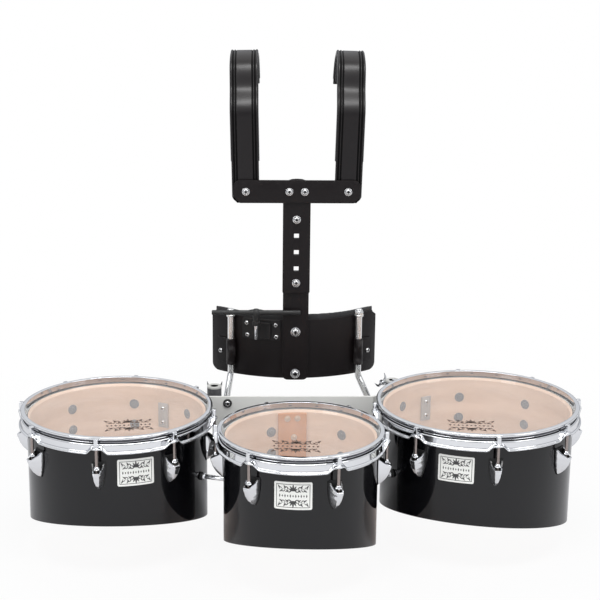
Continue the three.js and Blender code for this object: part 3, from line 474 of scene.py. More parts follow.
def node(tree, kind, settings=None, **inputs):
    """A node with its settings, its inputs set to values or linked from other nodes' sockets."""
    made = tree.nodes.new(f"ShaderNode{kind}")
    for key, value in (settings or {}).items():
        setattr(made, key, value)
    for key, value in inputs.items():
        socket = made.inputs[int(key[1:]) if key[0] == "_" and key[1:].isdigit()
                             else key.replace("_", " ")]
        if isinstance(value, bpy.types.NodeSocket):
            tree.links.new(value, socket)
        else:
            socket.default_value = value
    return made


def object_place(tree, scale=(1, 1, 1)):
    place = node(tree, "TexCoord").outputs["Object"]
    return node(tree, "Mapping", Vector=place, Scale=scale).outputs[0]


def worked_out(tree, operation, *values, **settings):
    """A Math node over values or sockets."""
    return node(tree, "Math", {"operation": operation, **settings},
                **{f"_{k}": value for k, value in enumerate(values)}).outputs[0]


def ranged(tree, value, low, high, to_low, to_high):
    return node(tree, "MapRange", None, Value=value, From_Min=low, From_Max=high,
                To_Min=to_low, To_Max=to_high).outputs["Result"]


def handling_group():
    """Handling marks: slow noise moves the roughness between two values, fine noise is relief."""
    tree, given, out = group("handling_marks", [("Scale", 14.0), ("Smooth", 0.1), ("Rough", 0.2)],
                             [("Roughness", "Float"), ("Relief", "Float"), ("Mask", "Float")])
    place = object_place(tree)
    slow = node(tree, "TexNoise", Vector=place, Scale=given["Scale"], Detail=4, Roughness=0.6)
    finer = worked_out(tree, "MULTIPLY", given["Scale"], 9.0)
    fine = node(tree, "TexNoise", Vector=place, Scale=finer, Detail=3)
    tree.links.new(ranged(tree, slow.outputs["Fac"], 0.35, 0.68, given["Smooth"], given["Rough"]),
                   out["Roughness"])
    tree.links.new(fine.outputs["Fac"], out["Relief"])
    tree.links.new(slow.outputs["Fac"], out["Mask"])
    return tree


def grit_group():
    """Powder-coat grit: cells a fraction of a millimetre wide, with slower waves under them."""
    tree, given, out = group("coat_grit", [("Scale", 1400.0), ("Smooth", 0.4), ("Rough", 0.55)],
                             [("Relief", "Float"), ("Roughness", "Float")])
    place = object_place(tree)
    cells = node(tree, "TexVoronoi", {"feature": "SMOOTH_F1"}, Vector=place, Scale=given["Scale"])
    waves = node(tree, "TexNoise", Vector=place, Scale=160.0, Detail=3)
    both = worked_out(tree, "MULTIPLY_ADD", cells.outputs["Distance"], 0.7, waves.outputs["Fac"])
    tree.links.new(both, out["Relief"])
    tree.links.new(ranged(tree, waves.outputs["Fac"], 0.35, 0.65, given["Smooth"], given["Rough"]),
                   out["Roughness"])
    return tree


def wear_and_edge_highlight_group():
    """Wear along edges, and a painted highlight where edges catch light: pointed places, broken up
    by noise, as a mask.
    """
    tree, given, out = group("worn_edges", [("Amount", 1.0)], [("Mask", "Float")])
    sharp = node(tree, "NewGeometry").outputs["Pointiness"]
    edge = ranged(tree, sharp, 0.55, 0.64, 0.0, 1.0)
    patches = node(tree, "TexNoise", Vector=object_place(tree), Scale=90.0, Detail=4)
    broken = ranged(tree, patches.outputs["Fac"], 0.42, 0.62, 0.0, 1.0)
    product = worked_out(tree, "MULTIPLY", edge, broken)
    amount = worked_out(tree, "MULTIPLY", product, given["Amount"], use_clamp=True)
    tree.links.new(amount, out["Mask"])
    return tree


def grain_group():
    """Wood grain along the shell's round: noise drawn out in plan, fine pores across it."""
    tree, given, out = group("veneer_grain",
                             [("Pale", (0.8, 0.6, 0.45, 1)), ("Dark", (0.6, 0.4, 0.3, 1))],
                             [("Color", "Color"), ("Roughness", "Float"), ("Relief", "Float")])
    broad = node(tree, "TexNoise", Vector=object_place(tree, (5, 5, 34)), Scale=1.0, Detail=5,
                 Distortion=0.4)
    pores = node(tree, "TexNoise", Vector=object_place(tree, (60, 60, 900)), Scale=1.0, Detail=2)
    mixed = worked_out(tree, "MULTIPLY_ADD", pores.outputs["Fac"], 0.35, broad.outputs["Fac"])
    share = ranged(tree, mixed, 0.5, 0.85, 0.0, 1.0)
    tone = node(tree, "Mix", {"data_type": "RGBA"}, _0=share, _6=given["Pale"], _7=given["Dark"])
    tree.links.new(tone.outputs[2], out["Color"])
    tree.links.new(ranged(tree, share, 0.0, 1.0, 0.5, 0.62), out["Roughness"])
    tree.links.new(pores.outputs["Fac"], out["Relief"])
    return tree


def weave_group():
    """Plain weave: two crossed waves, and a slow tone that fades the cloth."""
    tree, given, out = group("pad_weave", [("Threads", 700.0)],
                             [("Relief", "Float"), ("Tone", "Float")])
    place = node(tree, "TexCoord").outputs["Object"]
    waves = [node(tree, "TexWave", {"bands_direction": way}, Vector=place, Scale=given["Threads"])
             for way in ("X", "Z")]
    woven = worked_out(tree, "MAXIMUM", *(wave.outputs["Fac"] for wave in waves))
    slow = node(tree, "TexNoise", Vector=place, Scale=22.0, Detail=3)
    tree.links.new(woven, out["Relief"])
    tree.links.new(slow.outputs["Fac"], out["Tone"])
    return tree


HANDLING, GRIT, WEAR_AND_HIGHLIGHT = handling_group(), grit_group(), wear_and_edge_highlight_group()
GRAIN, WEAVE = grain_group(), weave_group()


class Finish:
    """A material with a Principled shader, to which node groups are added."""

    def __init__(self, name, color, roughness, metallic=0.0, **plain):
        self.material = bpy.data.materials.new(name)
        self.material.use_nodes = True
        self.tree = self.material.node_tree
        self.shader = self.tree.nodes["Principled BSDF"]
        self.color = (*color, 1)
        self.shader.inputs["Base Color"].default_value = self.color
        self.shader.inputs["Roughness"].default_value = roughness
        self.shader.inputs["Metallic"].default_value = metallic
        for socket, value in plain.items():
            self.shader.inputs[socket.replace("_", " ")].default_value = value

    def add(self, effect, **values):
        made = self.tree.nodes.new("ShaderNodeGroup")
        made.node_tree = effect
        for label, value in values.items():
            made.inputs[label].default_value = value
        return made.outputs

    def feed(self, output, socket):
        self.tree.links.new(output, self.shader.inputs[socket])
        return self

    def relief(self, output, depth, strength=1.0):
        bump = node(self.tree, "Bump", Height=output, Distance=depth * MM, Strength=strength)
        return self.feed(bump.outputs[0], "Normal")

    def mix(self, share, color):
        tone = node(self.tree, "Mix", {"data_type": "RGBA"}, _0=share, _6=self.color,
                    _7=(*color, 1))
        return self.feed(tone.outputs[2], "Base Color")


def handled(name, color, smooth, rough, metallic, scale=14.0, relief=0.0, **plain):
    """A finish with handling marks in its roughness and, where asked, in its relief."""
    finish = Finish(name, color, smooth, metallic, **plain)
    marks = finish.add(HANDLING, Scale=scale, Smooth=smooth, Rough=rough)
    finish.feed(marks["Roughness"], "Roughness")
    if relief:
        finish.relief(marks["Relief"], relief)
    return finish


def coated(name, color, smooth, rough, wear_and_highlight, bare_and_highlight_color, depth=0.05, scale=1400.0, **plain):
    """A powder coat: grit relief, and paler edges in a second colour, standing both for wear down
    to the metal and for a painted highlight where the edges catch light.
    """
    finish = Finish(name, color, smooth, **plain)
    grit = finish.add(GRIT, Scale=scale, Smooth=smooth, Rough=rough)
    finish.feed(grit["Roughness"], "Roughness").relief(grit["Relief"], depth)
    # paler edges: wear together with a painted edge highlight
    finish.mix(finish.add(WEAR_AND_HIGHLIGHT, Amount=wear_and_highlight)["Mask"], bare_and_highlight_color)
    return finish


def wooden(name, pale, dark):
    finish = Finish(name, pale, 0.55)
    grain = finish.add(GRAIN, Pale=(*pale, 1), Dark=(*dark, 1))
    finish.feed(grain["Color"], "Base Color").feed(grain["Roughness"], "Roughness")
    return finish.relief(grain["Relief"], 0.05, 0.5)


def threaded(name):
    """Bright rod steel whose relief is a fine thread along z."""
    finish = handled(name, (0.36, 0.31, 0.29), 0.16, 0.26, 1.0)
    turns = node(finish.tree, "TexWave", {"bands_direction": "Z"}, Scale=320.0,
                 Vector=node(finish.tree, "TexCoord").outputs["Object"])
    return finish.relief(turns.outputs["Fac"], 0.12, 0.5)


def clear_film():
    """Polyester film: nearly clear, with a faint haze that comes and goes."""
    finish = Finish("clear_head_film", (0.93, 0.92, 0.9), 0.12, Specular_IOR_Level=0.4)
    marks = finish.add(HANDLING, Scale=9.0, Smooth=0.1, Rough=0.2)
    finish.feed(marks["Roughness"], "Roughness")
    return finish.feed(ranged(finish.tree, marks["Mask"], 0.3, 0.7, 0.1, 0.14), "Alpha")


def cloth(name, color, threads, depth, sheen):
    finish = Finish(name, color, 0.8, Sheen_Weight=sheen, Sheen_Roughness=0.5)
    weave = finish.add(WEAVE, Threads=threads)
    tone = ranged(finish.tree, weave["Tone"], 0.35, 0.65, 0.0, 1.0)
    return finish.mix(tone, np.multiply(color, 1.6)).relief(weave["Relief"], depth, 0.6)


LACQUER = handled("black_shell_lacquer", (0.003, 0.003, 0.004), 0.06, 0.1, 0.0, 8.0, 0.01,
                  Specular_IOR_Level=0.46)
VENEER = wooden("pale_inside_veneer", (0.73, 0.52, 0.39), (0.61, 0.42, 0.3))
CHROME = handled("hoop_and_lug_chrome", (0.78, 0.79, 0.81), 0.04, 0.09, 1.0, 11.0)
SHADED_CHROME = handled("chrome_in_the_rolls_shade", (0.09, 0.09, 0.1), 0.2, 0.3, 1.0, 11.0)
ROD_STEEL = threaded("tension_rod_steel")
GASKET = handled("black_lug_gasket", (0.012, 0.012, 0.012), 0.6, 0.8, 0.0, 60.0, 0.05)
CAVITY = handled("lug_cavity_shade", (0.05, 0.05, 0.05), 0.4, 0.6, 0.6, 40.0)
BADGE = handled("badge_plate", (0.9, 0.9, 0.86), 0.35, 0.5, 0.1, 40.0, 0.02)
BADGE_INK = handled("badge_ink", (0.05, 0.05, 0.05), 0.4, 0.6, 0.0, 60.0)
PRINT_INK = handled("head_print_ink", (0.13, 0.09, 0.07), 0.5, 0.6, 0.0, 60.0)
GREY_WASHER = handled("grey_inside_washer", (0.13, 0.125, 0.135), 0.45, 0.6, 0.2, 50.0)
PALE_SCREW = handled("strip_screw", (0.6, 0.45, 0.33), 0.35, 0.5, 0.4, 60.0)
TUBE_RIM = handled("receiver_rim", (0.5, 0.5, 0.48), 0.4, 0.55, 0.1, 40.0)
SCREW = handled("bright_screw", (0.66, 0.66, 0.66), 0.15, 0.28, 1.0, 60.0)
# painted shade: near black for the floors of screw recesses and for the receivers' bores
RECESS_SHADE = handled("screw_recess", (0.02, 0.02, 0.02), 0.5, 0.7, 0.5, 90.0)
ALUMINIUM = handled("rack_aluminium", (0.8, 0.8, 0.77), 0.4, 0.55, 0.1, 30.0, 0.03)
BRACKET = handled("bracket_steel", (0.3, 0.3, 0.31), 0.35, 0.5, 1.0, 30.0, 0.03)
DARK_TUBE = coated("receiver_tube", (0.06, 0.06, 0.065), 0.45, 0.6, 0.4, (0.3, 0.3, 0.3), 0.12,
                   900.0)
PLY = wooden("orange_plywood", (0.62, 0.24, 0.06), (0.46, 0.17, 0.04))
# the full edge amount here paints highlight lines along the carrier's edges, besides wear
BLACK_COAT = coated("carrier_black_coat", (0.006, 0.004, 0.0043), 0.36, 0.46, 1.0,
                    (0.16, 0.15, 0.15), Specular_IOR_Level=0.27)
HOLDER_COAT = coated("holder_black_coat", (0.008, 0.007, 0.007), 0.45, 0.6, 0.3, (0.1, 0.1, 0.1),
                     0.15, 700.0, Specular_IOR_Level=0.4)
STRAP_BLACK = handled("strap_black", (0.006, 0.0042, 0.0045), 0.3, 0.38, 0.0, 22.0, 0.04,
                      Specular_IOR_Level=0.42)
# painted shade for the strap's grooves: near black and barely glossy, so they read as shaded lines
STRAP_GROOVE_SHADE = handled("strap_groove_black", (0.001, 0.001, 0.001), 0.5, 0.6, 0.0, 22.0,
                       Specular_IOR_Level=0.1)
J_ROD_STEEL = handled("j_rod_steel", (0.84, 0.84, 0.83), 0.16, 0.22, 0.92, 6.0)
BACKING_STEEL = handled("pale_backing_steel", (0.4, 0.37, 0.35), 0.4, 0.55, 0.3, 40.0)
PAD_CLOTH = cloth("belly_pad_cloth", (0.012, 0.012, 0.013), 900.0, 0.12, 0.15)
SHOULDER_CLOTH = cloth("shoulder_pad_cloth", (0.013, 0.012, 0.013), 900.0, 0.12, 0.15)
# piping paler than the pad cloth: the piping is real, its paler tone a painted highlight line along
# the pads' edges
PIPING_WITH_HIGHLIGHT = cloth("pad_piping", (0.045, 0.045, 0.046), 1200.0, 0.05, 0.3)
KEY_RUBBER = handled("key_handle_rubber", (0.012, 0.012, 0.012), 0.45, 0.65, 0.0, 60.0, 0.1)
MOUNT_RUBBER = handled("mount_rubber", (0.014, 0.014, 0.014), 0.6, 0.8, 0.0, 60.0, 0.1)


# ---- drums

def shell(drum):
    """Wall between the bearing edge and the slanted cut. Its low edge is at the slope times
    (radius + r cos turn), where turn is measured from the cut's high side."""
    turn = np.linspace(-180, 180, 288, endpoint=False)
    outer, inner = drum.radius, drum.inside

    def cut(radius):
        return drum.slope * (drum.radius + radius * np.cos(np.radians(turn)))

    corners = sections(len(turn), (outer, cut(outer)), (outer, SHELL_TOP - 2.7),
                       (outer - 2, SHELL_TOP), (inner, SHELL_TOP - 4), (inner, cut(inner)))
    section = softened(corners, np.array([1, 0.3, 0.7, 0.3, 1]), 3)
    reach = section[..., 0]
    grid = around(drum.axis, reach, np.radians(drum.cut + turn)[:, None], section[..., 1])
    middle = (reach + np.roll(reach, -1, 1)) / 2
    return form(grid, close_rows=True, tint=(middle < outer - 2.3).astype(int))


def film(drum):
    """Film over the bearing edge and down its collar, a third of a millimetre thick."""
    r = drum.radius
    top = [(0, 0), (r * 0.5, 0), (r - 6, 0), (r - 2, -0.05), (r, -0.15), (r + 1.2, -0.5),
           (r + 1.8, -1.4), (r + 1.9, -4.1)]
    under = [(radius - (0.3 if radius > r else 0), height - 0.35) for radius, height in top[::-1]]
    return moved(lathe(top + under[:-1] + [(0, -0.35)], 192), [drum.x, drum.y, FILM_TOP])


def head_ring(drum):
    r = drum.radius
    section = softened([(r + 2.3, -11), (r + 7.2, -11), (r + 7.2, -4.3), (r + 1.3, -4.3)], 0.5, 2)
    return moved(lathe(section, 192), [drum.x, drum.y, FILM_TOP])


def hoop(drum):
    """Triple-flanged hoop: a rolled top, a wall, a ledge and a skirt whose lower edge rises in
    scallops to each ear; the channel under the roll lies in its shade. Around the drum, the rise
    is a smooth step of the distance to the nearest ear, and the ear's reach a raised cosine."""
    azimuth = np.linspace(0, 360, 64 * len(drum.lugs), endpoint=False) + drum.lugs[0]
    spacing = 360 / len(drum.lugs)
    off = (azimuth - drum.lugs[0] + spacing / 2) % spacing - spacing / 2
    along = np.abs(np.radians(off)) * drum.radius
    step = np.clip((along - 6) / 11, 0, 1)
    rise = 1 - step ** 2 * (3 - 2 * step)
    ear = (0.5 + 0.5 * np.cos(np.pi * np.clip(along / 15, 0, 1))) ** 0.7
    bottom = HOOP_TOP - (28 - 9.4 * rise)
    inner, roll, lip = 2.5, 10.2, 13.4 + 6.1 * ear
    corners = sections(
        len(azimuth), (inner, HOOP_TOP), (roll, HOOP_TOP), (roll, 240.6), (4.6, 240.6),
        (4.6, 234.4), (9.9, 233.7), (9.9, bottom + 3.6), (lip, bottom + 2.6), (lip, bottom),
        (7.8, bottom + 0.3), (7.8, 231.6), (inner, 231.6)) + [drum.radius, 0]
    radii = np.array([0.9, 2.0, 1.4, 1.6, 1.6, 2.2, 2.2, 1.1, 1.0, 1.6, 0.6, 0.6])
    section = softened(corners, radii, 4)
    grid = around(drum.axis, section[..., 0], np.radians(azimuth)[:, None], section[..., 1])
    column = np.arange(section.shape[1])
    channel = (column >= 12) & (column < 21)
    return form(grid, close_rows=True, tint=np.broadcast_to(channel.astype(int), grid.shape[:2]))


def tension_rod():
    """Square-headed rod on its washer, drawn at the wall and facing the audience."""
    ear = 228.9
    thread = lathe([(0, LUG_TOP - 13), (2.7, LUG_TOP - 13), (2.7, ear + 0.5), (0, ear + 0.5)], 20)
    washer = lathe([(0, ear - 0.2), (5, ear - 0.2), (5.4, ear + 0.3), (5.4, ear + 1.1),
                    (5, ear + 1.5), (4.3, ear + 1.6), (4.1, ear + 2.9), (0, ear + 2.9)], 28, 1)
    block = slab(box_outline(6.9, 6.9, 0.9), HOOP_TOP - 1 - ear - 2.5, 0.9, 3, tint=1)
    block = moved(block, [0, 0, ear + 2.5])
    return [moved(part, [0, -ROD_OUT, 0]) for part in (thread, washer, block)]


def lug_width(down):
    return np.interp(down, [0, 0.06, 0.3, 0.55, 0.75, 0.9, 1],
                     [20.8, 21.8, 21.8, 19.8, 15.8, 10.6, 5.2])


def lug_depth(down):
    return np.interp(down, [0, 0.1, 0.35, 0.6, 0.8, 0.93, 1],
                     [21.4, 22.6, 22.0, 18.6, 13.2, 7.6, 3.6])


def lug():
    """Teardrop lug, open at its top. A section at a share down the lug is a shield: a narrow
    front facet between two creases and two flanks that widen back to the shell. The top edge
    falls in proportion to the distance from the shell, and inside it the wall turns down into
    the nut's cavity."""
    def section(down, wall):
        wide, deep = lug_width(down) / 2 - wall, lug_depth(down) - wall
        front = np.interp(down, [0, 0.3, 0.7, 1], [0.5, 0.47, 0.4, 0.3])
        rear = -1 - wall * 0.5 + 0 * deep
        x = np.stack([-wide, -wide * 0.97, -wide * front, wide * front, wide * 0.97, wide], -1)
        y = np.stack([rear, -deep * 0.24, -deep, -deep, -deep * 0.24, rear], -1)
        return softened(np.stack([x, y], -1), np.array([0.4, 2.5, 1.2, 1.2, 2.5, 0.4]), 5)

    rows = np.concatenate([np.linspace(1, 0.3, 26), np.linspace(0.28, 0.02, 9)])
    outer = section(rows, 0.0)
    dip = 11.5 * np.clip((-outer[-1, :, 1] - 3) / 18, 0, 1) + 0.5

    def dipped(rows):
        height = LUG_TOP - rows[:, None] * LUG_HEIGHT
        return height - np.clip((height - LUG_TOP + 20) / 20, 0, 1) ** 1.2 * dip

    inner_rows, wall = np.array([0.02, 0.1, 0.2, 0.3]), 2.1
    flat = np.concatenate([outer, section(inner_rows, wall)])
    z = np.concatenate([dipped(rows), dipped(inner_rows)])
    grid = np.concatenate([flat, z[..., None]], -1)
    tip, floor = (np.broadcast_to(point, (1,) + grid.shape[1:]) for point in (
        [0, -1.6, LUG_TOP - LUG_HEIGHT - 0.4], [0, -8, LUG_TOP - 17]))
    grid = np.concatenate([tip, grid, floor])
    marks = np.zeros(len(grid) - 1, int)
    marks[-len(inner_rows):] = 1
    ball = lathe([(0, -4.4), (2.2, -4.3), (4.2, -2.6), (5, 0), (4.4, 2.4), (3.4, 3.4),
                  (0, 3.4)], 28)
    return [form(grid, tint=marks), moved(ball, [0, -ROD_OUT, LUG_TOP - 6])]


def lug_gasket():
    """Thin black seal: the lug's own outline on the shell, one millimetre wider."""
    down = np.linspace(0, 1, 18)
    half = lug_width(down) / 2 + 1.1
    height = LUG_TOP + 0.9 - down * (LUG_HEIGHT + 1.9)
    outline = np.concatenate([np.stack([half, height], -1), np.stack([-half, height], -1)[::-1]])
    return slab(outline, 1.5, 0.4, centre=(0, LUG_TOP - 20))


def leaf(x, y, angle, length, width):
    """Outline from stalk to tip; half the width follows the sine of the share of the length."""
    share = np.linspace(0, 1, 6)
    half = width / 2 * np.sin(np.pi * share ** 0.85)
    rim = np.concatenate([np.stack([share * length, half], -1),
                          np.stack([share * length, -half], -1)[-2:0:-1]])
    a = np.radians(angle)
    return rim @ [[np.cos(a), np.sin(a)], [-np.sin(a), np.cos(a)]] + [x, y]


def lozenge(x, y, wide, high):
    return np.array([[x - wide / 2, y], [x, y - high / 2], [x + wide / 2, y], [x, y + high / 2]])


def curl(x, y, radius, start, turn, bold):
    """Outline of a tapering arc: its half width falls with the share of its turn."""
    share = np.linspace(0, 1, 9)
    a = np.radians(start + turn * share)
    half = radius * 0.28 * bold * (1 - 0.75 * share)
    reach = radius * (1 - 0.35 * share)
    way = np.stack([np.cos(a), np.sin(a)], -1)
    rim = np.concatenate([way * (reach + half)[:, None], (way * (reach - half)[:, None])[::-1]])
    return rim + [x, y]


def ribbon(outline, thickness):
    """A strip whose outline runs out on one side and back on the other, raised a little."""
    half = len(outline) // 2
    there, back = outline[:half], outline[half:][::-1]
    section = np.stack([there, back, back, there], 1)
    height = np.broadcast_to([0, 0, thickness, thickness], section.shape[:2])
    return form(capped(np.concatenate([section, height[..., None]], -1)), tint=1)


def ornament(wide, high, thickness, bold=1.0):
    """Generic ornament: a row of lozenges between two garlands of leaves and curls."""
    flat = [lozenge(x * wide * 0.092, 0, wide * 0.05 * bold, high * (0.15 if x % 2 else 0.1))
            for x in range(-5, 6)]
    curls = []
    for up in (-1, 1):
        base = up * high * 0.2
        flat += [leaf(0, base, up * angle, high * size, high * 0.07 * bold)
                 for angle, size in ((90, 0.3), (60, 0.25), (120, 0.25), (30, 0.2), (150, 0.2))]
        for side in (-1, 1):
            for step, radius in enumerate((0.088, 0.078, 0.066, 0.055)):
                x = side * wide * (0.15 + 0.1 * step)
                y = base + up * high * (0.1 if step % 2 else 0.04)
                turn = side * up * (-290 if step % 2 else 290)
                curls.append(curl(x, y, high * radius, 180 if side > 0 else 0, turn, bold))
                lean = up * (58 if step % 2 else -30)
                lean = lean if side > 0 else 180 - lean
                flat.append(leaf(x, y, lean, high * 0.17, high * 0.055 * bold))
    return [tinted(slab(shape, thickness, 0.03, 1), 1) for shape in flat] + [
        ribbon(shape, thickness) for shape in curls]


def badge(drum):
    """Plate bent around the shell, with a thin dark frame line inside its rim."""
    plate = sheet(60, 46, 2.5, 1.02, edge=0.15, frame=(3.3, 4.3))
    marks = [moved(mark, [0, 0, 1.0]) for mark in ornament(46, 41, 0.14)]
    return [wrapped(drum, moved(part, [0, drum.badge_height, 0]), drum.badge)
            for part in [plate] + marks]


def head_print(drum):
    azimuth = np.radians(drum.print_azimuth)
    middle = around(drum.axis, drum.print_out, azimuth, FILM_TOP + 0.02)
    return [laid(tinted(mark, 0), turned(np.radians(drum.print_azimuth * 0.4)), middle)
            for mark in ornament(76, 60, 0.1, 1.3)]


def inside_washers(drum):
    """Grey washer with a flat screw head at its middle, two for each lug, one above the other,
    on the shell's inner wall."""
    disc = lathe([(0, -0.3), (8.7, -0.3), (8.7, 0.6), (8.2, 1.1), (4.2, 1.2), (4.1, 1.8),
                  (3.6, 2.3), (0, 2.4)])
    flats = [laid(disc, FACING, [0, 0, height]) for height in (158, 197)]
    return [on_drum(drum, flat, azimuth, drum.inside, True)
            for azimuth in drum.lugs for flat in flats]


for drum in DRUMS:
    word = drum.name
    make(f"{word}_lacquered_shell", RACK, [shell(drum)], [LACQUER, VENEER],
         [f"{word}_shell"])
    make(f"{word}_clear_head", RACK, [film(drum), tinted(head_ring(drum), 1)],
         [clear_film(), ALUMINIUM], [f"{word}_head"])
    make(f"{word}_flanged_hoop", RACK, [hoop(drum)], [CHROME, SHADED_CHROME],
         [f"{word}_hoop"], 50)
    rods = [on_drum(drum, part, azimuth) for azimuth in drum.lugs for part in tension_rod()]
    make(f"{word}_tension_rods", RACK, rods, [ROD_STEEL, CHROME])
    for number, azimuth in enumerate(drum.lugs, 1):
        make(f"{word}_teardrop_lug_{number}", RACK,
             [on_drum(drum, part, azimuth) for part in lug()], [CHROME, CAVITY],
             [f"{word}_lug_{number}"], 34)
    gaskets = [wrapped(drum, lug_gasket(), azimuth) for azimuth in drum.lugs]
    make(f"{word}_lug_gaskets", RACK, gaskets, [GASKET])
    make(f"{word}_badge", RACK, badge(drum), [BADGE, BADGE_INK])
    make(f"{word}_head_print", RACK, head_print(drum), [PRINT_INK])
    make(f"{word}_inside_washers", RACK, inside_washers(drum), [GREY_WASHER])


# ---- rack

def backing_plate(drum, azimuth):
    """Flat plate on the shell's inner wall, which its two long edges touch, and its screws."""
    width, middle = 20, 182
    reach = np.sqrt((drum.inside - 0.9) ** 2 - (width / 2) ** 2)
    plate = laid(slab(box_outline(width, 46, 1.5), 2.4, 0.5), FACING)
    screws = [laid(bolt(4.2, 2.8, BRIGHT, RECESS_SHADE_TINT), FACING, [0, -2.3, z]) for z in (-13, 13)]
    return [on_drum(drum, moved(part, [0, 0, middle]), azimuth, reach, True)
            for part in [plate] + screws]


def plywood_strip(drum):
    """Strip bent to the wall, with its screws."""
    parts = [moved(sheet(50, 215.5, 2, 4, 0, 121.75, 0.6), [0, 0, 0.5])]
    for across, height in ((-9, 220), (9, 220), (3, 186)):
        for part in (lathe([(0, 0), (5.6, 0), (5.4, 0.8), (0, 1)], 24, 1),
                     moved(bolt(3.6, 2.0, 1, 1), [0, 0, 0.8])):
            parts.append(moved(part, [across, height, 4.4]))
    return [wrapped(drum, part, 185, drum.inside, True) for part in parts]


LEFT, CENTRE, RIGHT = DRUMS
for drum, azimuth in ((LEFT, 150.6), (RIGHT, -153)):
    make(f"{drum.name}_backing_steel", RACK, backing_plate(drum, azimuth),
         [BACKING_STEEL, SCREW, RECESS_SHADE], [f"{drum.name}_backing_plate"])
make("centre_plywood_strip", RACK, plywood_strip(CENTRE), [PLY, PALE_SCREW],
     ["centre_reinforcement"])


def link_rod(drum):
    """Rod between two shells with a black washer and a nut at each end."""
    between = unit([drum.x, drum.y])
    far = np.hypot(drum.x, drum.y) - drum.radius

    def at(distance):
        return np.array([*(between * distance), LINK_Z])

    near = CENTRE.radius + 0.3
    parts = [round_bar(4, at(near), at(far - 0.3))]
    for start, way in ((near, 1), (far - 0.3, -1)):
        axes = axes_along(way * np.array([*between, 0]))
        parts.append(round_bar(7, at(start), at(start + way * 3), 0.6, 32, 1))
        parts.append(laid(hexagon(10, 5), axes, at(start + way * 3)))
    return parts


for drum in (LEFT, RIGHT):
    make(f"{drum.name}_link_strut", RACK, link_rod(drum), [CHROME, GASKET],
         [f"{drum.name}_link_rod"])

ring = lathe([(0, 0), (8, 0), (8, 1.2), (7.2, 1.8), (0, 1.8)], 32, 2)
screw = [laid(part, FACING, [-123, BAR_FRONT - off, 204])
         for part, off in ((ring, 0.1), (bolt(5, 3), 1.7))]
make("rack_bar_screw", RACK, screw, [SCREW, RECESS_SHADE, GASKET])

# solids shown as they are, with a finish of their own
for kept, finish in (("rack_bar", ALUMINIUM), ("left_drum_mount", MOUNT_RUBBER),
                     ("right_drum_mount", MOUNT_RUBBER), ("centre_drum_bracket", BRACKET)):
    for holder in frame["nodes"][kept].material_slots:
        holder.material = finish.material


# ---- receivers, wing screws and J-rods

def receiver_seat(side):
    """Middle of a receiver's tube, and the directions across and along the bar there."""
    low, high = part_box("left_receiver" if side < 0 else "right_receiver")
    low, high = np.array(low) / MM - [*FOOT, 0], np.array(high) / MM - [*FOOT, 0]
    if side < 0:
        seat = [(low[0] + high[0]) / 2, high[1] - RECEIVER_RADIUS]
        return np.array(seat), np.array([0, 1]), np.array([1, 0])
    along, across = np.array(turned(np.radians(RIGHT_WING_ANGLE)))[:2, :2]
    return np.array([low[0] + RECEIVER_RADIUS, high[1] - RECEIVER_RADIUS]), across, along


def receiver(seat, across, along):
    """Dark tube with a bright ring at its top, a near-black lining in its bore as painted shade,
    and the boss that carries it on the bar.
    """
    outer = RECEIVER_RADIUS
    tube = lathe([(6.6, 175.6), (7, RECEIVER_FOOT), (12.2, RECEIVER_FOOT), (outer, 175.8),
                  (outer, 226.2), (12.6, 226.6), (7.4, 226.6), (6.6, 225)], 40)
    ring = lathe([(7.1, 222), (12.8, 222), (12.8, 226), (13.1, 226.4), (13.1, 229.2),
                  (12.6, 229.9), (7.6, 229.9), (7.1, 229.4)], 48, 1)
    # painted shade: a near-black lining down the bore
    dark = lathe([(6.3, 180), (6.9, 180), (7.4, 222), (7.4, 229), (6.3, 229.2)], 40, 2)
    boss = slab(box_outline(20, 10, 1.2, 0, -13), 41, 0.8)
    axes = [[*along, 0], [*across, 0], [0, 0, 1]]
    parts = [moved(part, [*seat, 0]) for part in (tube, ring, dark)]
    return parts + [laid(boss, axes, [*seat, RECEIVER_FOOT])]


def wing_screw(seat, across, along, turn):
    """Threaded shank, hub and two wings in the plane across the screw, at a turn from level."""
    axis = np.array([*across, 0])
    start = np.array([*seat, SCREW_AXIS_Z])
    shank = round_bar(3, start + axis * 7, start + axis * 25.5, 0.4, 20)
    hub = laid(lathe([(0, 0), (5, 0), (5.2, 1.5), (4.6, 7), (3.6, 8.7), (0, 9)], 28),
               axes_along(axis), start + axis * 25)
    wing = softened([(1, -3.4), (9, -3.2), (13.6, 1), (14.2, 11), (12.9, 11), (11, 3.8),
                     (7, 2.4), (1, 3.4)], np.array([0.3, 3, 5, 0.5, 0.5, 4, 3, 0.3]), 5)
    level = np.array([[*along, 0], [0, 0, 1], np.cross([*along, 0], [0, 0, 1])])
    axes = np.array(turned(np.radians(turn))) @ level
    wings = [slab(wing * [side, 1], 1.6, 0.5, centre=(side * 8, 0)) for side in (-1, 1)]
    place = start + axis * 29.5 - axes[2] * 0.8
    return [shank, hub] + [laid(flat, axes, place) for flat in wings]


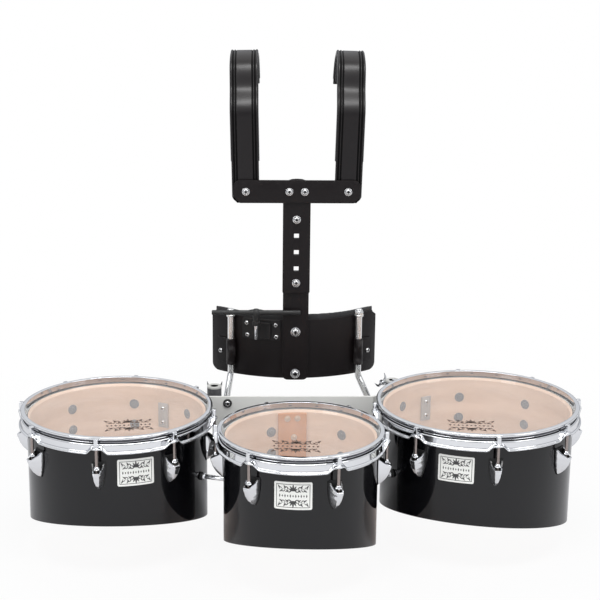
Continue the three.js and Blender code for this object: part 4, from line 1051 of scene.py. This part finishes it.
def j_rod(seat, side):
    """Round bar down from its cap, cranked towards the rack, and hooked up into the receiver.
    The crank and the hook are arcs in the upright plane through both: the crank's, of radius
    bend, starts at the kink, and the hook's, of radius turn, is lowest at the foot."""
    bend, foot = 24, 148
    origin = np.array([side * SLEEVE_X, SLEEVE_Y])
    out = seat - origin
    reach = np.linalg.norm(out)
    out = out / reach
    lean, kink = (np.radians(22), 240) if side < 0 else (np.radians(27), 236)
    drop = kink - foot - bend * np.sin(lean)
    turn = (reach - bend * (1 - np.cos(lean)) - np.tan(lean) * drop) / (
        1 + np.cos(lean) - np.tan(lean) * (1 - np.sin(lean)))
    crank = np.linspace(0, lean, 9)
    hook = np.linspace(lean, np.pi, 36)
    plane = np.concatenate([
        [[0, 356.4], [0, 356], [0, 300]],
        np.stack([bend * (1 - np.cos(crank)), kink - bend * np.sin(crank)], -1),
        np.stack([reach - turn * (1 + np.cos(hook)), foot + turn * (1 - np.sin(hook))], -1),
        [[reach, 219], [reach, 220.6]]])
    path = np.column_stack([origin + plane[:, :1] * out, plane[:, 1]])
    scales = np.ones(len(path))
    scales[[0, -1]] = 0.86
    bar = swept(circle(6, 28), path, [-out[1], out[0], 0], scales)
    flange = lathe([(5.9, 344), (8.3, 344), (8.5, 344.5), (8.5, 346.6), (8.2, 347), (5.9, 347)], 36)
    cap = moved(hexagon(15, 7.4, 0.9), [0, 0, 346.8])
    dome = lathe([(0, 353.6), (6.2, 353.6), (6.2, 356), (5.4, 357.4), (3.4, 358), (0, 358)], 32)
    return [bar] + [moved(part, [*origin, 0]) for part in (flange, cap, dome)]


def belly_wrap(part):
    """A flat form (x across, y up, z off the plate) bent around the belly plate's front."""
    points, quads, tints = part
    angle = np.arcsin(np.clip(points[:, 0] / BELLY_RADIUS, -1, 1))
    reach = BELLY_RADIUS + points[:, 2] + BELLY_GAP
    return around(BELLY_AXIS, reach, angle, points[:, 1]), quads, tints


def belly_screw(x, z, off, radius, height):
    """A screw head on something that stands off the belly plate's front."""
    angle = np.arcsin(x / BELLY_RADIUS)
    out = np.array([np.sin(angle), -np.cos(angle), 0])
    seat = np.array([0, BELLY_Y, z]) + out * (BELLY_RADIUS + off)
    return laid(bolt(radius, height, BRIGHT, RECESS_SHADE_TINT), axes_along(out), seat)


def rod_sleeve(side):
    """Tube around the J-rod and the tab beside it, bent to the belly plate."""
    tube = lathe([(6.5, 252.6), (7, 252), (7.8, 252), (8.4, 252.6), (8.4, 300.4), (7.8, 301),
                  (7, 301), (6.5, 300.4)], 36)
    tube = moved(tube, [side * SLEEVE_X, SLEEVE_Y, 0])
    low, high = sorted((side * 116, side * 141))
    tab = sheet(high - low, 46, 2.5, 3, (low + high) / 2, 274)
    return [tube, belly_wrap(tab), belly_screw(side * 134, 272, 3.2, 4.6, 3)]


for side, word in ((-1, "left"), (1, "right")):
    seat, across, along = receiver_seat(side)
    make(f"{word}_receiver_tube", RACK, receiver(seat, across, along),
         [DARK_TUBE, TUBE_RIM, RECESS_SHADE], [f"{word}_receiver"])
    turn = 0 if side < 0 else RIGHT_SCREW_TURN
    make(f"{word}_winged_screw", f"{word}_screw",
         wing_screw(seat, across, along, turn), [CHROME], [f"{word}_wing_screw"])
    make(f"{word}_hooked_rod", f"{word}_rod", j_rod(seat, side), [J_ROD_STEEL],
         [f"{word}_j_rod"], 34)
    make(f"{word}_sleeve_and_tab", "harness", rod_sleeve(side),
         [BLACK_COAT, SCREW, RECESS_SHADE], [f"{word}_rod_sleeve"])


# ---- carrier

def belly_plate():
    """Part of a cylinder. For each angle, the height runs between the lower edge, rounded at its
    ends, and the upper edge, whose ends are chamfered."""
    half = np.arcsin(BELLY_HALF_WIDTH / BELLY_RADIUS)
    angle = half * np.sin(np.linspace(-np.pi / 2, np.pi / 2, 121))
    x = np.abs(BELLY_RADIUS * np.sin(angle))
    corner = BELLY_HALF_WIDTH - 11
    into = np.clip((x - corner) / 11, 0, 1)
    bowed = np.clip(x / corner, 0, 1) ** 3
    low = 233 - 2.5 * bowed + 12 * (1 - np.sqrt(1 - into ** 2))
    high = 344 + 2 * bowed - np.clip(x - 143, 0, 9)
    outer, inner = BELLY_RADIUS, BELLY_RADIUS - BELLY_SKIN
    section = softened(
        sections(len(angle), (outer, low), (outer, high), (inner, high), (inner, low)), 1.1, 3)
    return form(capped(around(BELLY_AXIS, section[..., 0], angle[:, None], section[..., 1])))


def corners_of(mesh):
    """Four corners for each face; a triangle's last one is doubled."""
    return np.array([[*face.vertices, face.vertices[-1]][:4] for face in mesh.polygons])


def places_of(mesh):
    """The mesh's points in its own unit."""
    flat = np.empty(len(mesh.vertices) * 3)
    mesh.vertices.foreach_get("co", flat)
    return flat.reshape(-1, 3)


def bored_plate(outline, holes, thickness, edge):
    """Flat plate with holes: a filled curve, with its edges rounded, as a form."""
    curve = bpy.data.curves.new("plate_outline", "CURVE")
    curve.dimensions, curve.fill_mode = "2D", "BOTH"
    curve.extrude, curve.bevel_depth, curve.bevel_resolution = thickness / 2 - edge, edge, 2
    curve.offset = -edge
    for loop in [outline] + holes:
        spline = curve.splines.new("POLY")
        spline.points.add(len(loop) - 1)
        zero = 0 * loop[:, :1]
        spline.points.foreach_set("co", np.column_stack([loop, zero, zero + 1]).ravel())
        spline.use_cyclic_u = True
    holder = bpy.data.objects.new("plate_outline", curve)
    SCENE.collection.objects.link(holder)
    graph = bpy.context.evaluated_depsgraph_get()
    mesh = bpy.data.meshes.new_from_object(holder.evaluated_get(graph))
    points = places_of(mesh)
    quads = corners_of(mesh)
    bpy.data.objects.remove(holder)
    bpy.data.meshes.remove(mesh)
    return points, quads, np.zeros(len(quads), int)


def holed_bar(half, low, high, radii, front, thickness, edge):
    """Upright bar with five square holes, its front face at y = front."""
    outline = softened([(-half, low), (half, low), (half, high), (-half, high)], radii, 6)
    holes = [box_outline(9, 9, 0.7, 0, TOP_HOLE_Z - HOLE_PITCH * k) for k in range(5)]
    plate = bored_plate(outline, holes, thickness, edge)
    return laid(plate, FACING, [0, front + thickness / 2, 0])


def crossbar():
    corners = [(-101, STRAP_FOOT), (101, STRAP_FOOT), (112, 573), (112, 603), (-112, 603),
               (-112, 573)]
    outline = softened(corners, np.array([1, 1, 1, 14, 14, 1]), 7)
    parts = [laid(slab(outline, 4, 0.6), FACING, [0, CROSSBAR_FRONT + 4, 0])]
    for x in (-PIVOT_X, PIVOT_X):
        pin = round_bar(4, [x, CROSSBAR_FRONT + 3.7, PIVOT_Z], [x, 301, PIVOT_Z], 0.4, 24)
        nut = laid(hexagon(12.5, 4), [[1, 0, 0], [0, 0, -1], [0, 1, 0]], [x, 295.9, PIVOT_Z])
        parts += [tinted(pin, BRIGHT), tinted(nut, BRIGHT)]
    for x in (-PIVOT_X, -13.65, 13.65, PIVOT_X):
        parts += bolt_and_washer([x, CROSSBAR_FRONT, PIVOT_Z], 5.4, 3.4)
    return parts


def bolt_and_washer(at, radius, height):
    """Washer and screw head in front of a plate's face."""
    washer = lathe([(0, -0.2), (radius * 1.25, -0.2), (radius * 1.25, 0.6), (radius * 1.15, 0.9),
                    (0, 0.9)], 32, BRIGHT)
    head = moved(bolt(radius, height, BRIGHT, RECESS_SHADE_TINT), [0, 0, 0.8])
    return [laid(part, FACING, at) for part in (washer, head)]


METALS = [BLACK_COAT, SCREW, RECESS_SHADE]
make("curved_belly_plate", "harness", [belly_plate()], METALS, ["belly_plate"])
column = [holed_bar(23.25, 231.5, 552, 11, COLUMN_FRONT, 5, 0.7)]
for height in (243.6, 322.6):
    column += bolt_and_washer([0, COLUMN_FRONT, height], 7, 4.6)
make("upright_column", "harness", column, METALS, ["column"])
t_bar = holed_bar(24.5, 396, 604.8, np.array([4, 4, 22, 22]), T_BAR_FRONT, 4, 0.6)
make("t_shaped_bar", "shoulder_frame", [t_bar], METALS, ["t_bar"])
clamp_bolts = []
for height in (415.5, TOP_HOLE_Z):
    clamp_bolts += bolt_and_washer([0, T_BAR_FRONT, height], 5.8, 4)
make("t_bar_clamp_bolts", "shoulder_frame", clamp_bolts, METALS)
make("shoulder_crossbar", "shoulder_frame", crossbar(), METALS, ["crossbar"])


# ---- shoulder straps and pads

PAD_VOXEL, PAD_PRESSURE, PAD_FRAMES = 4, 4, 20
DRAW_IN_START, DRAW_IN_LENGTH, DRAW_IN_DEPTH = 716, 106, 16


def swollen(grid, held, cap):
    """A pad's grid closed and blown up: voxel remesh, then frames of cloth under pressure
    without gravity. The points that held() picks stay, and no other moves further than the
    cap."""
    points, quads, tints = form(capped(grid))
    points, faces, _ = welded(points, outward(points, quads), tints)
    mesh = bpy.data.meshes.new("padding")
    mesh.from_pydata((points * MM).tolist(), [], [f for group in faces for f in group.tolist()])
    blown = bpy.data.objects.new("padding", mesh)
    SCENE.collection.objects.link(blown)
    remesh = blown.modifiers.new("remesh", "REMESH")
    remesh.mode, remesh.voxel_size = "VOXEL", PAD_VOXEL * MM
    graph = bpy.context.evaluated_depsgraph_get()
    blown.data = bpy.data.meshes.new_from_object(blown.evaluated_get(graph))
    blown.modifiers.clear()
    start = end = places_of(blown.data) / MM
    pinned = blown.vertex_groups.new(name="held")
    pinned.add(np.flatnonzero(held(start)).tolist(), 1.0, "REPLACE")
    settings = blown.modifiers.new("swelling", "CLOTH").settings
    settings.quality = 5
    settings.vertex_group_mass = "held"
    settings.use_pressure = True
    settings.uniform_pressure_force = PAD_PRESSURE
    settings.effector_weights.gravity = 0
    for frame_number in range(1, PAD_FRAMES + 1):
        SCENE.frame_set(frame_number)
    graph = bpy.context.evaluated_depsgraph_get()
    end = places_of(bpy.data.meshes.new_from_object(blown.evaluated_get(graph))) / MM
    SCENE.frame_set(1)
    way = end - start
    length = np.maximum(np.linalg.norm(way, axis=1, keepdims=True), 1e-6)
    place = start + way * np.minimum(1, cap / length)
    corners = corners_of(blown.data)
    bpy.data.objects.remove(blown)
    return place, corners, np.zeros(len(corners), int)


def smoothed(piece):
    """One level of subdivision over the piece."""
    rounder = piece.modifiers.new("rounder", "SUBSURF")
    rounder.levels = rounder.render_levels = 1
    return piece


def strap_path(start, end_angle, steps=110):
    """(y, z) straight up from the start, then around the arch to its end. Over a length of the
    band, measured along it, a squared sine draws it in."""
    angle = np.radians(np.linspace(0, end_angle, steps))
    rise = np.linspace(start, ARCH_Z, 48)[:-1]
    run = np.concatenate([rise, ARCH_Z + ARCH_RADIUS * angle])
    angle = np.concatenate([0 * rise, angle])
    share = np.clip((run - DRAW_IN_START) / DRAW_IN_LENGTH, 0, 1)
    reach = ARCH_RADIUS - DRAW_IN_DEPTH * np.sin(np.pi * share) ** 2
    below = np.concatenate([rise - ARCH_Z, np.zeros(steps)])
    return np.stack([STRAP_Y + ARCH_RADIUS - reach * np.cos(angle),
                     ARCH_Z + below + reach * np.sin(angle)], -1)


def splayed(part, side):
    """Turned around the strap's pivot, as the straps stand on the crossbar, with its rear end
    a little to the audience's right."""
    a = np.radians(side * 1.3)
    points, quads, tints = part
    points = points + [1, 0, 0] * (points[:, 1:2] - STRAP_Y) * (0.02 - 0.01 * side)
    turn = np.array([[np.cos(a), 0, -np.sin(a)], [0, 1, 0], [np.sin(a), 0, np.cos(a)]])
    return (points - [0, 0, PIVOT_Z]) @ turn + [side * PIVOT_X, 0, PIVOT_Z], quads, tints


def strap(side):
    """Band with two ribs along each edge. Across it, the height is the band's thickness plus a
    rib's, with sloped flanks; the flanks and floors of the grooves have the tint 1, a painted
    shade that darkens them. Near its foot one corner is cut away."""
    half = 24.25
    across = np.array([-1, -0.98, -0.95, -0.87, -0.84, -0.75, -0.72, -0.67, -0.64, -0.57, -0.54])
    height = np.array([3.6, 4.0, 5.2, 5.2, 3.8, 3.8, 5.1, 5.1, 3.6, 3.6, 4.3])
    across = np.concatenate([across, [0], -across[::-1]])
    height = np.concatenate([height, [4.3], height[::-1]])
    top = np.stack([across * half, height], -1)
    under = np.stack([np.array([0.97, 0.5, 0, -0.5, -0.97]) * half, np.zeros(5)], -1)
    section = softened(np.concatenate([top, under]), 0.5, 2)
    path = strap_path(STRAP_FOOT, 163)
    points = np.column_stack([np.zeros(len(path)), path])
    middle = np.abs(section + np.roll(section, -1, 0)) / 2
    share = middle[:, 0] / half
    # painted shade: the groove flanks and floors take the near-black groove finish
    groove_shade = (middle[:, 1] > 3) & (middle[:, 1] < 4.8) & (
        (np.abs(share - 0.795) < 0.06) | (np.abs(share - 0.605) < 0.06))
    band = swept(section, points, [-1, 0, 0], tint=groove_shade[None].astype(int))
    place = band[0]
    limit = half - np.clip(571 - place[:, 2], 0, None)
    place[:, 0] = np.where(side * place[:, 0] > limit, side * limit, place[:, 0])
    return band


def shoulder_pad():
    """Padding under the strap, on the middle line, with piping along its long edges. It starts
    as a crowned section that thins at both ends as the root of one minus a high power of the
    share along it, and is then swollen with its upper side held to the strap."""
    path = strap_path(631, 161, 60)
    half = 23.4
    length = np.concatenate([[0], np.cumsum(np.linalg.norm(np.diff(path, axis=0), axis=1))])
    along = 2 * length / length[-1] - 1
    full = np.sqrt(np.clip(1 - along ** 14, 0.02, 1))
    t = np.linspace(0, 2 * np.pi, 44, endpoint=False)
    across = np.sign(np.cos(t)) * np.abs(np.cos(t)) ** 0.45 * half
    depth = np.where(np.sin(t) > 0, np.sin(t), 0) ** 0.55
    flat = np.where(np.sin(t) < 0, -np.abs(np.sin(t)) ** 0.4, 0)
    middle = np.column_stack([np.zeros(len(path)), path])
    inward = np.cross(unit(np.gradient(middle, axis=0)), [1, 0, 0])
    full = full[:, None]
    thick = (1.2 + 8.6 * depth + 2 * depth * (1 - (across / half) ** 2)) * full
    thick = np.where(flat < 0, 0.4, thick)[..., None]
    side_in = (across * (0.93 + 0.07 * full))[..., None]
    grid = middle[:, None] + side_in * [1, 0, 0] + thick * inward[:, None]

    def held(points):
        near = np.argmin(np.sum((points[:, None, 1:] - path) ** 2, -1), 1)
        return np.sum((points - middle[near])[:, 1:] * inward[near, 1:], -1) < 1.9

    parts = [swollen(grid, held, 5)]
    for edge in (-1, 1):
        seam = middle[2:-2] + inward[2:-2] * 2.3 + [edge * 24.1, 0, 0]
        parts.append(swept(circle(1.3, 10), seam, [1, 0, 0], tint=1))
    return parts


padding = shoulder_pad()
for side, word in ((-1, "left"), (1, "right")):
    make(f"{word}_ribbed_strap", f"{word}_strap", [splayed(strap(side), side)],
         [STRAP_BLACK, STRAP_GROOVE_SHADE], [f"{word}_shoulder_strap"], 50)
    pad = make(f"{word}_padding", f"{word}_strap",
               [splayed(part, side) for part in padding], [SHOULDER_CLOTH, PIPING_WITH_HIGHLIGHT],
               [f"{word}_shoulder_pad"], 60)
    smoothed(pad)


def belly_pad():
    """Pad behind the belly plate, with piping around its front edge. Across its section the
    crown is a sine of the height, its edges draw in, and its ends thin out as the root of one
    minus the sixteenth power; swollen, it gets two sewn channels."""
    columns = np.linspace(-1, 1, 81)
    half = np.arcsin(BELLY_HALF_WIDTH / BELLY_RADIUS) - 4 / BELLY_RADIUS
    full = np.sqrt(np.clip(1 - np.abs(columns) ** 16, 0.3, 1))
    up = np.array([0, 0.5, 1, 1, 0.985, 0.94, 0.86, 0.75,
                   0.6, 0.5, 0.4, 0.25, 0.14, 0.06, 0.015, 0])
    out = np.array([0, 0, 0, 0.3, 0.62, 0.84, 0.96, 1, 1, 1, 1, 1, 0.96, 0.84, 0.62, 0.3])
    depth = out * (11 + 5 * (1 - columns[:, None] ** 2) * np.sin(np.pi * up)) * full[:, None]
    draw = 3 * (1 - full)
    low, high = 237 + draw, 354.6 - draw
    z = low[:, None] + (high - low)[:, None] * up
    front = BELLY_RADIUS - 3.6
    grid = around(BELLY_AXIS, front - depth, (columns * half)[:, None], z)

    def polar(points):
        return (np.hypot(points[:, 0], BELLY_Y - points[:, 1]),
                np.arctan2(points[:, 0], BELLY_Y - points[:, 1]))

    place, quads, tints = swollen(grid, lambda points: polar(points)[0] > front - 2.2, 6)
    reach, turn = polar(place)
    reach = np.minimum(reach, front)
    sewn = 0.24 * np.exp(-((np.abs(turn) / half - 0.42) / 0.026) ** 2)
    reach = reach + (front - reach) * sewn
    place = around(BELLY_AXIS, reach, turn, place[:, 2])
    end, low, high = half * BELLY_RADIUS, 241, 346.4
    corner = softened([(-end, low), (end, low), (end, high), (-end, high)], 10, 8)
    rim = np.concatenate([np.linspace(before, after, 30)[1:]
                          for before, after in zip(np.roll(corner, 1, 0), corner)])
    ring = circle(1.7, 10)
    way = unit(np.roll(rim, -1, 0) - np.roll(rim, 1, 0))
    wide = rim[:, None] + ring[None, :, :1] * np.stack([way[:, 1], -way[:, 0]], -1)[:, None]
    piping = around(
        BELLY_AXIS, front - 1.9 + ring[None, :, 1], wide[..., 0] / BELLY_RADIUS, wide[..., 1])
    return [(place, quads, tints), form(piping, close_rows=True, tint=1)]


pad = make("crowned_belly_pad", "harness", belly_pad(), [PAD_CLOTH, PIPING_WITH_HIGHLIGHT],
           ["belly_pad"], 70)
smoothed(pad)


# ---- tuning key and its holder

def key_holder():
    """Plate on the belly plate, the arm and the ring around the key's shaft, and a raised box."""
    parts = [belly_wrap(sheet(68, 38, 3, 2.5, -61, 324))]
    back = BELLY_Y - np.sqrt((BELLY_RADIUS + 1.5) ** 2 - KEY_X ** 2)
    arm = slab(box_outline(8, back - KEY_Y, 0.8, 0, (back - KEY_Y) / 2), 5, 0.6)
    parts.append(moved(arm, [KEY_X, KEY_Y, 338]))
    ring = lathe([(4.1, 338.5), (4.5, 338), (6.5, 338), (7, 338.5), (7, 344.5), (6.5, 345),
                  (4.5, 345), (4.1, 344.5)])
    parts.append(moved(ring, [KEY_X, KEY_Y, 0]))
    parts += [belly_screw(x, z, 2.7, 4.2, 2.8)
              for x, z in ((-87, 334), (-85.8, 312), (-35.5, 334), (-34.6, 312))]
    return parts + [belly_wrap(sheet(18, 30, 2, 6.8, -53, 323, 0.7, 2.4))]


def tuning_key():
    """T handle with a knob at its middle on a funnel hub, and a tapered bright shaft."""
    half = [(6.4, 0), (5.8, 8), (4.9, 12), (4.5, 14), (4.5, 77.5), (4.2, 79.2), (3, 80), (0, 80)]
    handle = lathe([(radius, -along) for radius, along in half[:0:-1]] + half)
    handle = laid(handle, [[0, 0, 1], [0, 1, 0], [-1, 0, 0]], [KEY_X, KEY_Y, 362])
    hub = lathe([(0, 345.3), (5.4, 345.3), (5.6, 345.9), (5.8, 350), (6.6, 354), (7.8, 358),
                 (8, 362), (7.2, 366), (5, 368.3), (0, 368.8)], 36)
    shaft = lathe([(0, 312), (2.4, 312), (2.6, 312.4), (3.6, 345.6), (0, 345.6)], 28, 1)
    return [handle] + [moved(part, [KEY_X, KEY_Y, 0]) for part in (hub, shaft)]


make("screwed_key_holder", "harness", key_holder(),
     [HOLDER_COAT, SCREW, RECESS_SHADE], ["key_holder"])
make("t_handled_key", "key", tuning_key(), [KEY_RUBBER, CHROME], ["tuning_key"])


# ---- floor and surroundings

def add_floor():
    """Pale floor: camera rays see mostly plain white, so that only a soft shadow stays, and
    nothing but white away from the object."""
    half, level = 9, -0.002
    mesh = bpy.data.meshes.new("studio_floor")
    mesh.from_pydata([(-half, -half, level), (half, -half, level), (half, half, level),
                      (-half, half, level)], [], [(0, 1, 2, 3)])
    floor = bpy.data.objects.new("studio_floor", mesh)
    SCENE.collection.objects.link(floor)
    material = bpy.data.materials.new("pale_floor")
    material.use_nodes = True
    tree = material.node_tree
    shader = tree.nodes["Principled BSDF"]
    shader.inputs["Base Color"].default_value = (0.6, 0.6, 0.61, 1)
    shader.inputs["Roughness"].default_value = 0.9
    glow = node(tree, "Emission", Color=(1, 1, 1, 1), Strength=1.0)
    seen = node(tree, "LightPath")
    away = node(tree, "VectorMath", {"operation": "LENGTH"},
                _0=node(tree, "TexCoord").outputs["Object"])
    share = ranged(tree, away.outputs["Value"], 0.45, 1.1, 0.91, 1.0)
    either = worked_out(tree, "MULTIPLY", seen.outputs["Is Camera Ray"], share)
    mixed = node(tree, "MixShader", None, _0=either, _1=shader.outputs[0], _2=glow.outputs[0])
    tree.links.new(mixed.outputs[0], tree.nodes["Material Output"].inputs["Surface"])
    mesh.materials.append(material)


def add_world():
    """White for the camera; for light and reflections a studio whose grey horizon brightens
    overhead."""
    world = bpy.data.worlds.new("studio")
    SCENE.world = world
    world.use_nodes = True
    tree = world.node_tree
    seen = node(tree, "LightPath")
    way = node(tree, "SeparateXYZ", Vector=node(tree, "TexCoord").outputs["Generated"])
    studio = node(tree, "ValToRGB", None, Fac=way.outputs["Z"])
    stops = studio.color_ramp.elements
    stops[0].position, stops[0].color = 0.0, (0.36, 0.38, 0.42, 1)
    stops[1].position, stops[1].color = 1.0, (1.1, 1.1, 1.1, 1)
    for place, color in ((0.03, (0.1, 0.11, 0.13, 1)), (0.13, (0.12, 0.13, 0.16, 1)),
                         (0.2, (0.62, 0.64, 0.68, 1)), (0.5, (0.85, 0.86, 0.88, 1))):
        stops.new(place).color = color
    white = node(tree, "Mix", {"data_type": "RGBA"}, _0=seen.outputs["Is Camera Ray"],
                 _6=studio.outputs["Color"], _7=(1, 1, 1, 1))
    tree.links.new(white.outputs[2], tree.nodes["Background"].inputs["Color"])


add_floor()
add_world()
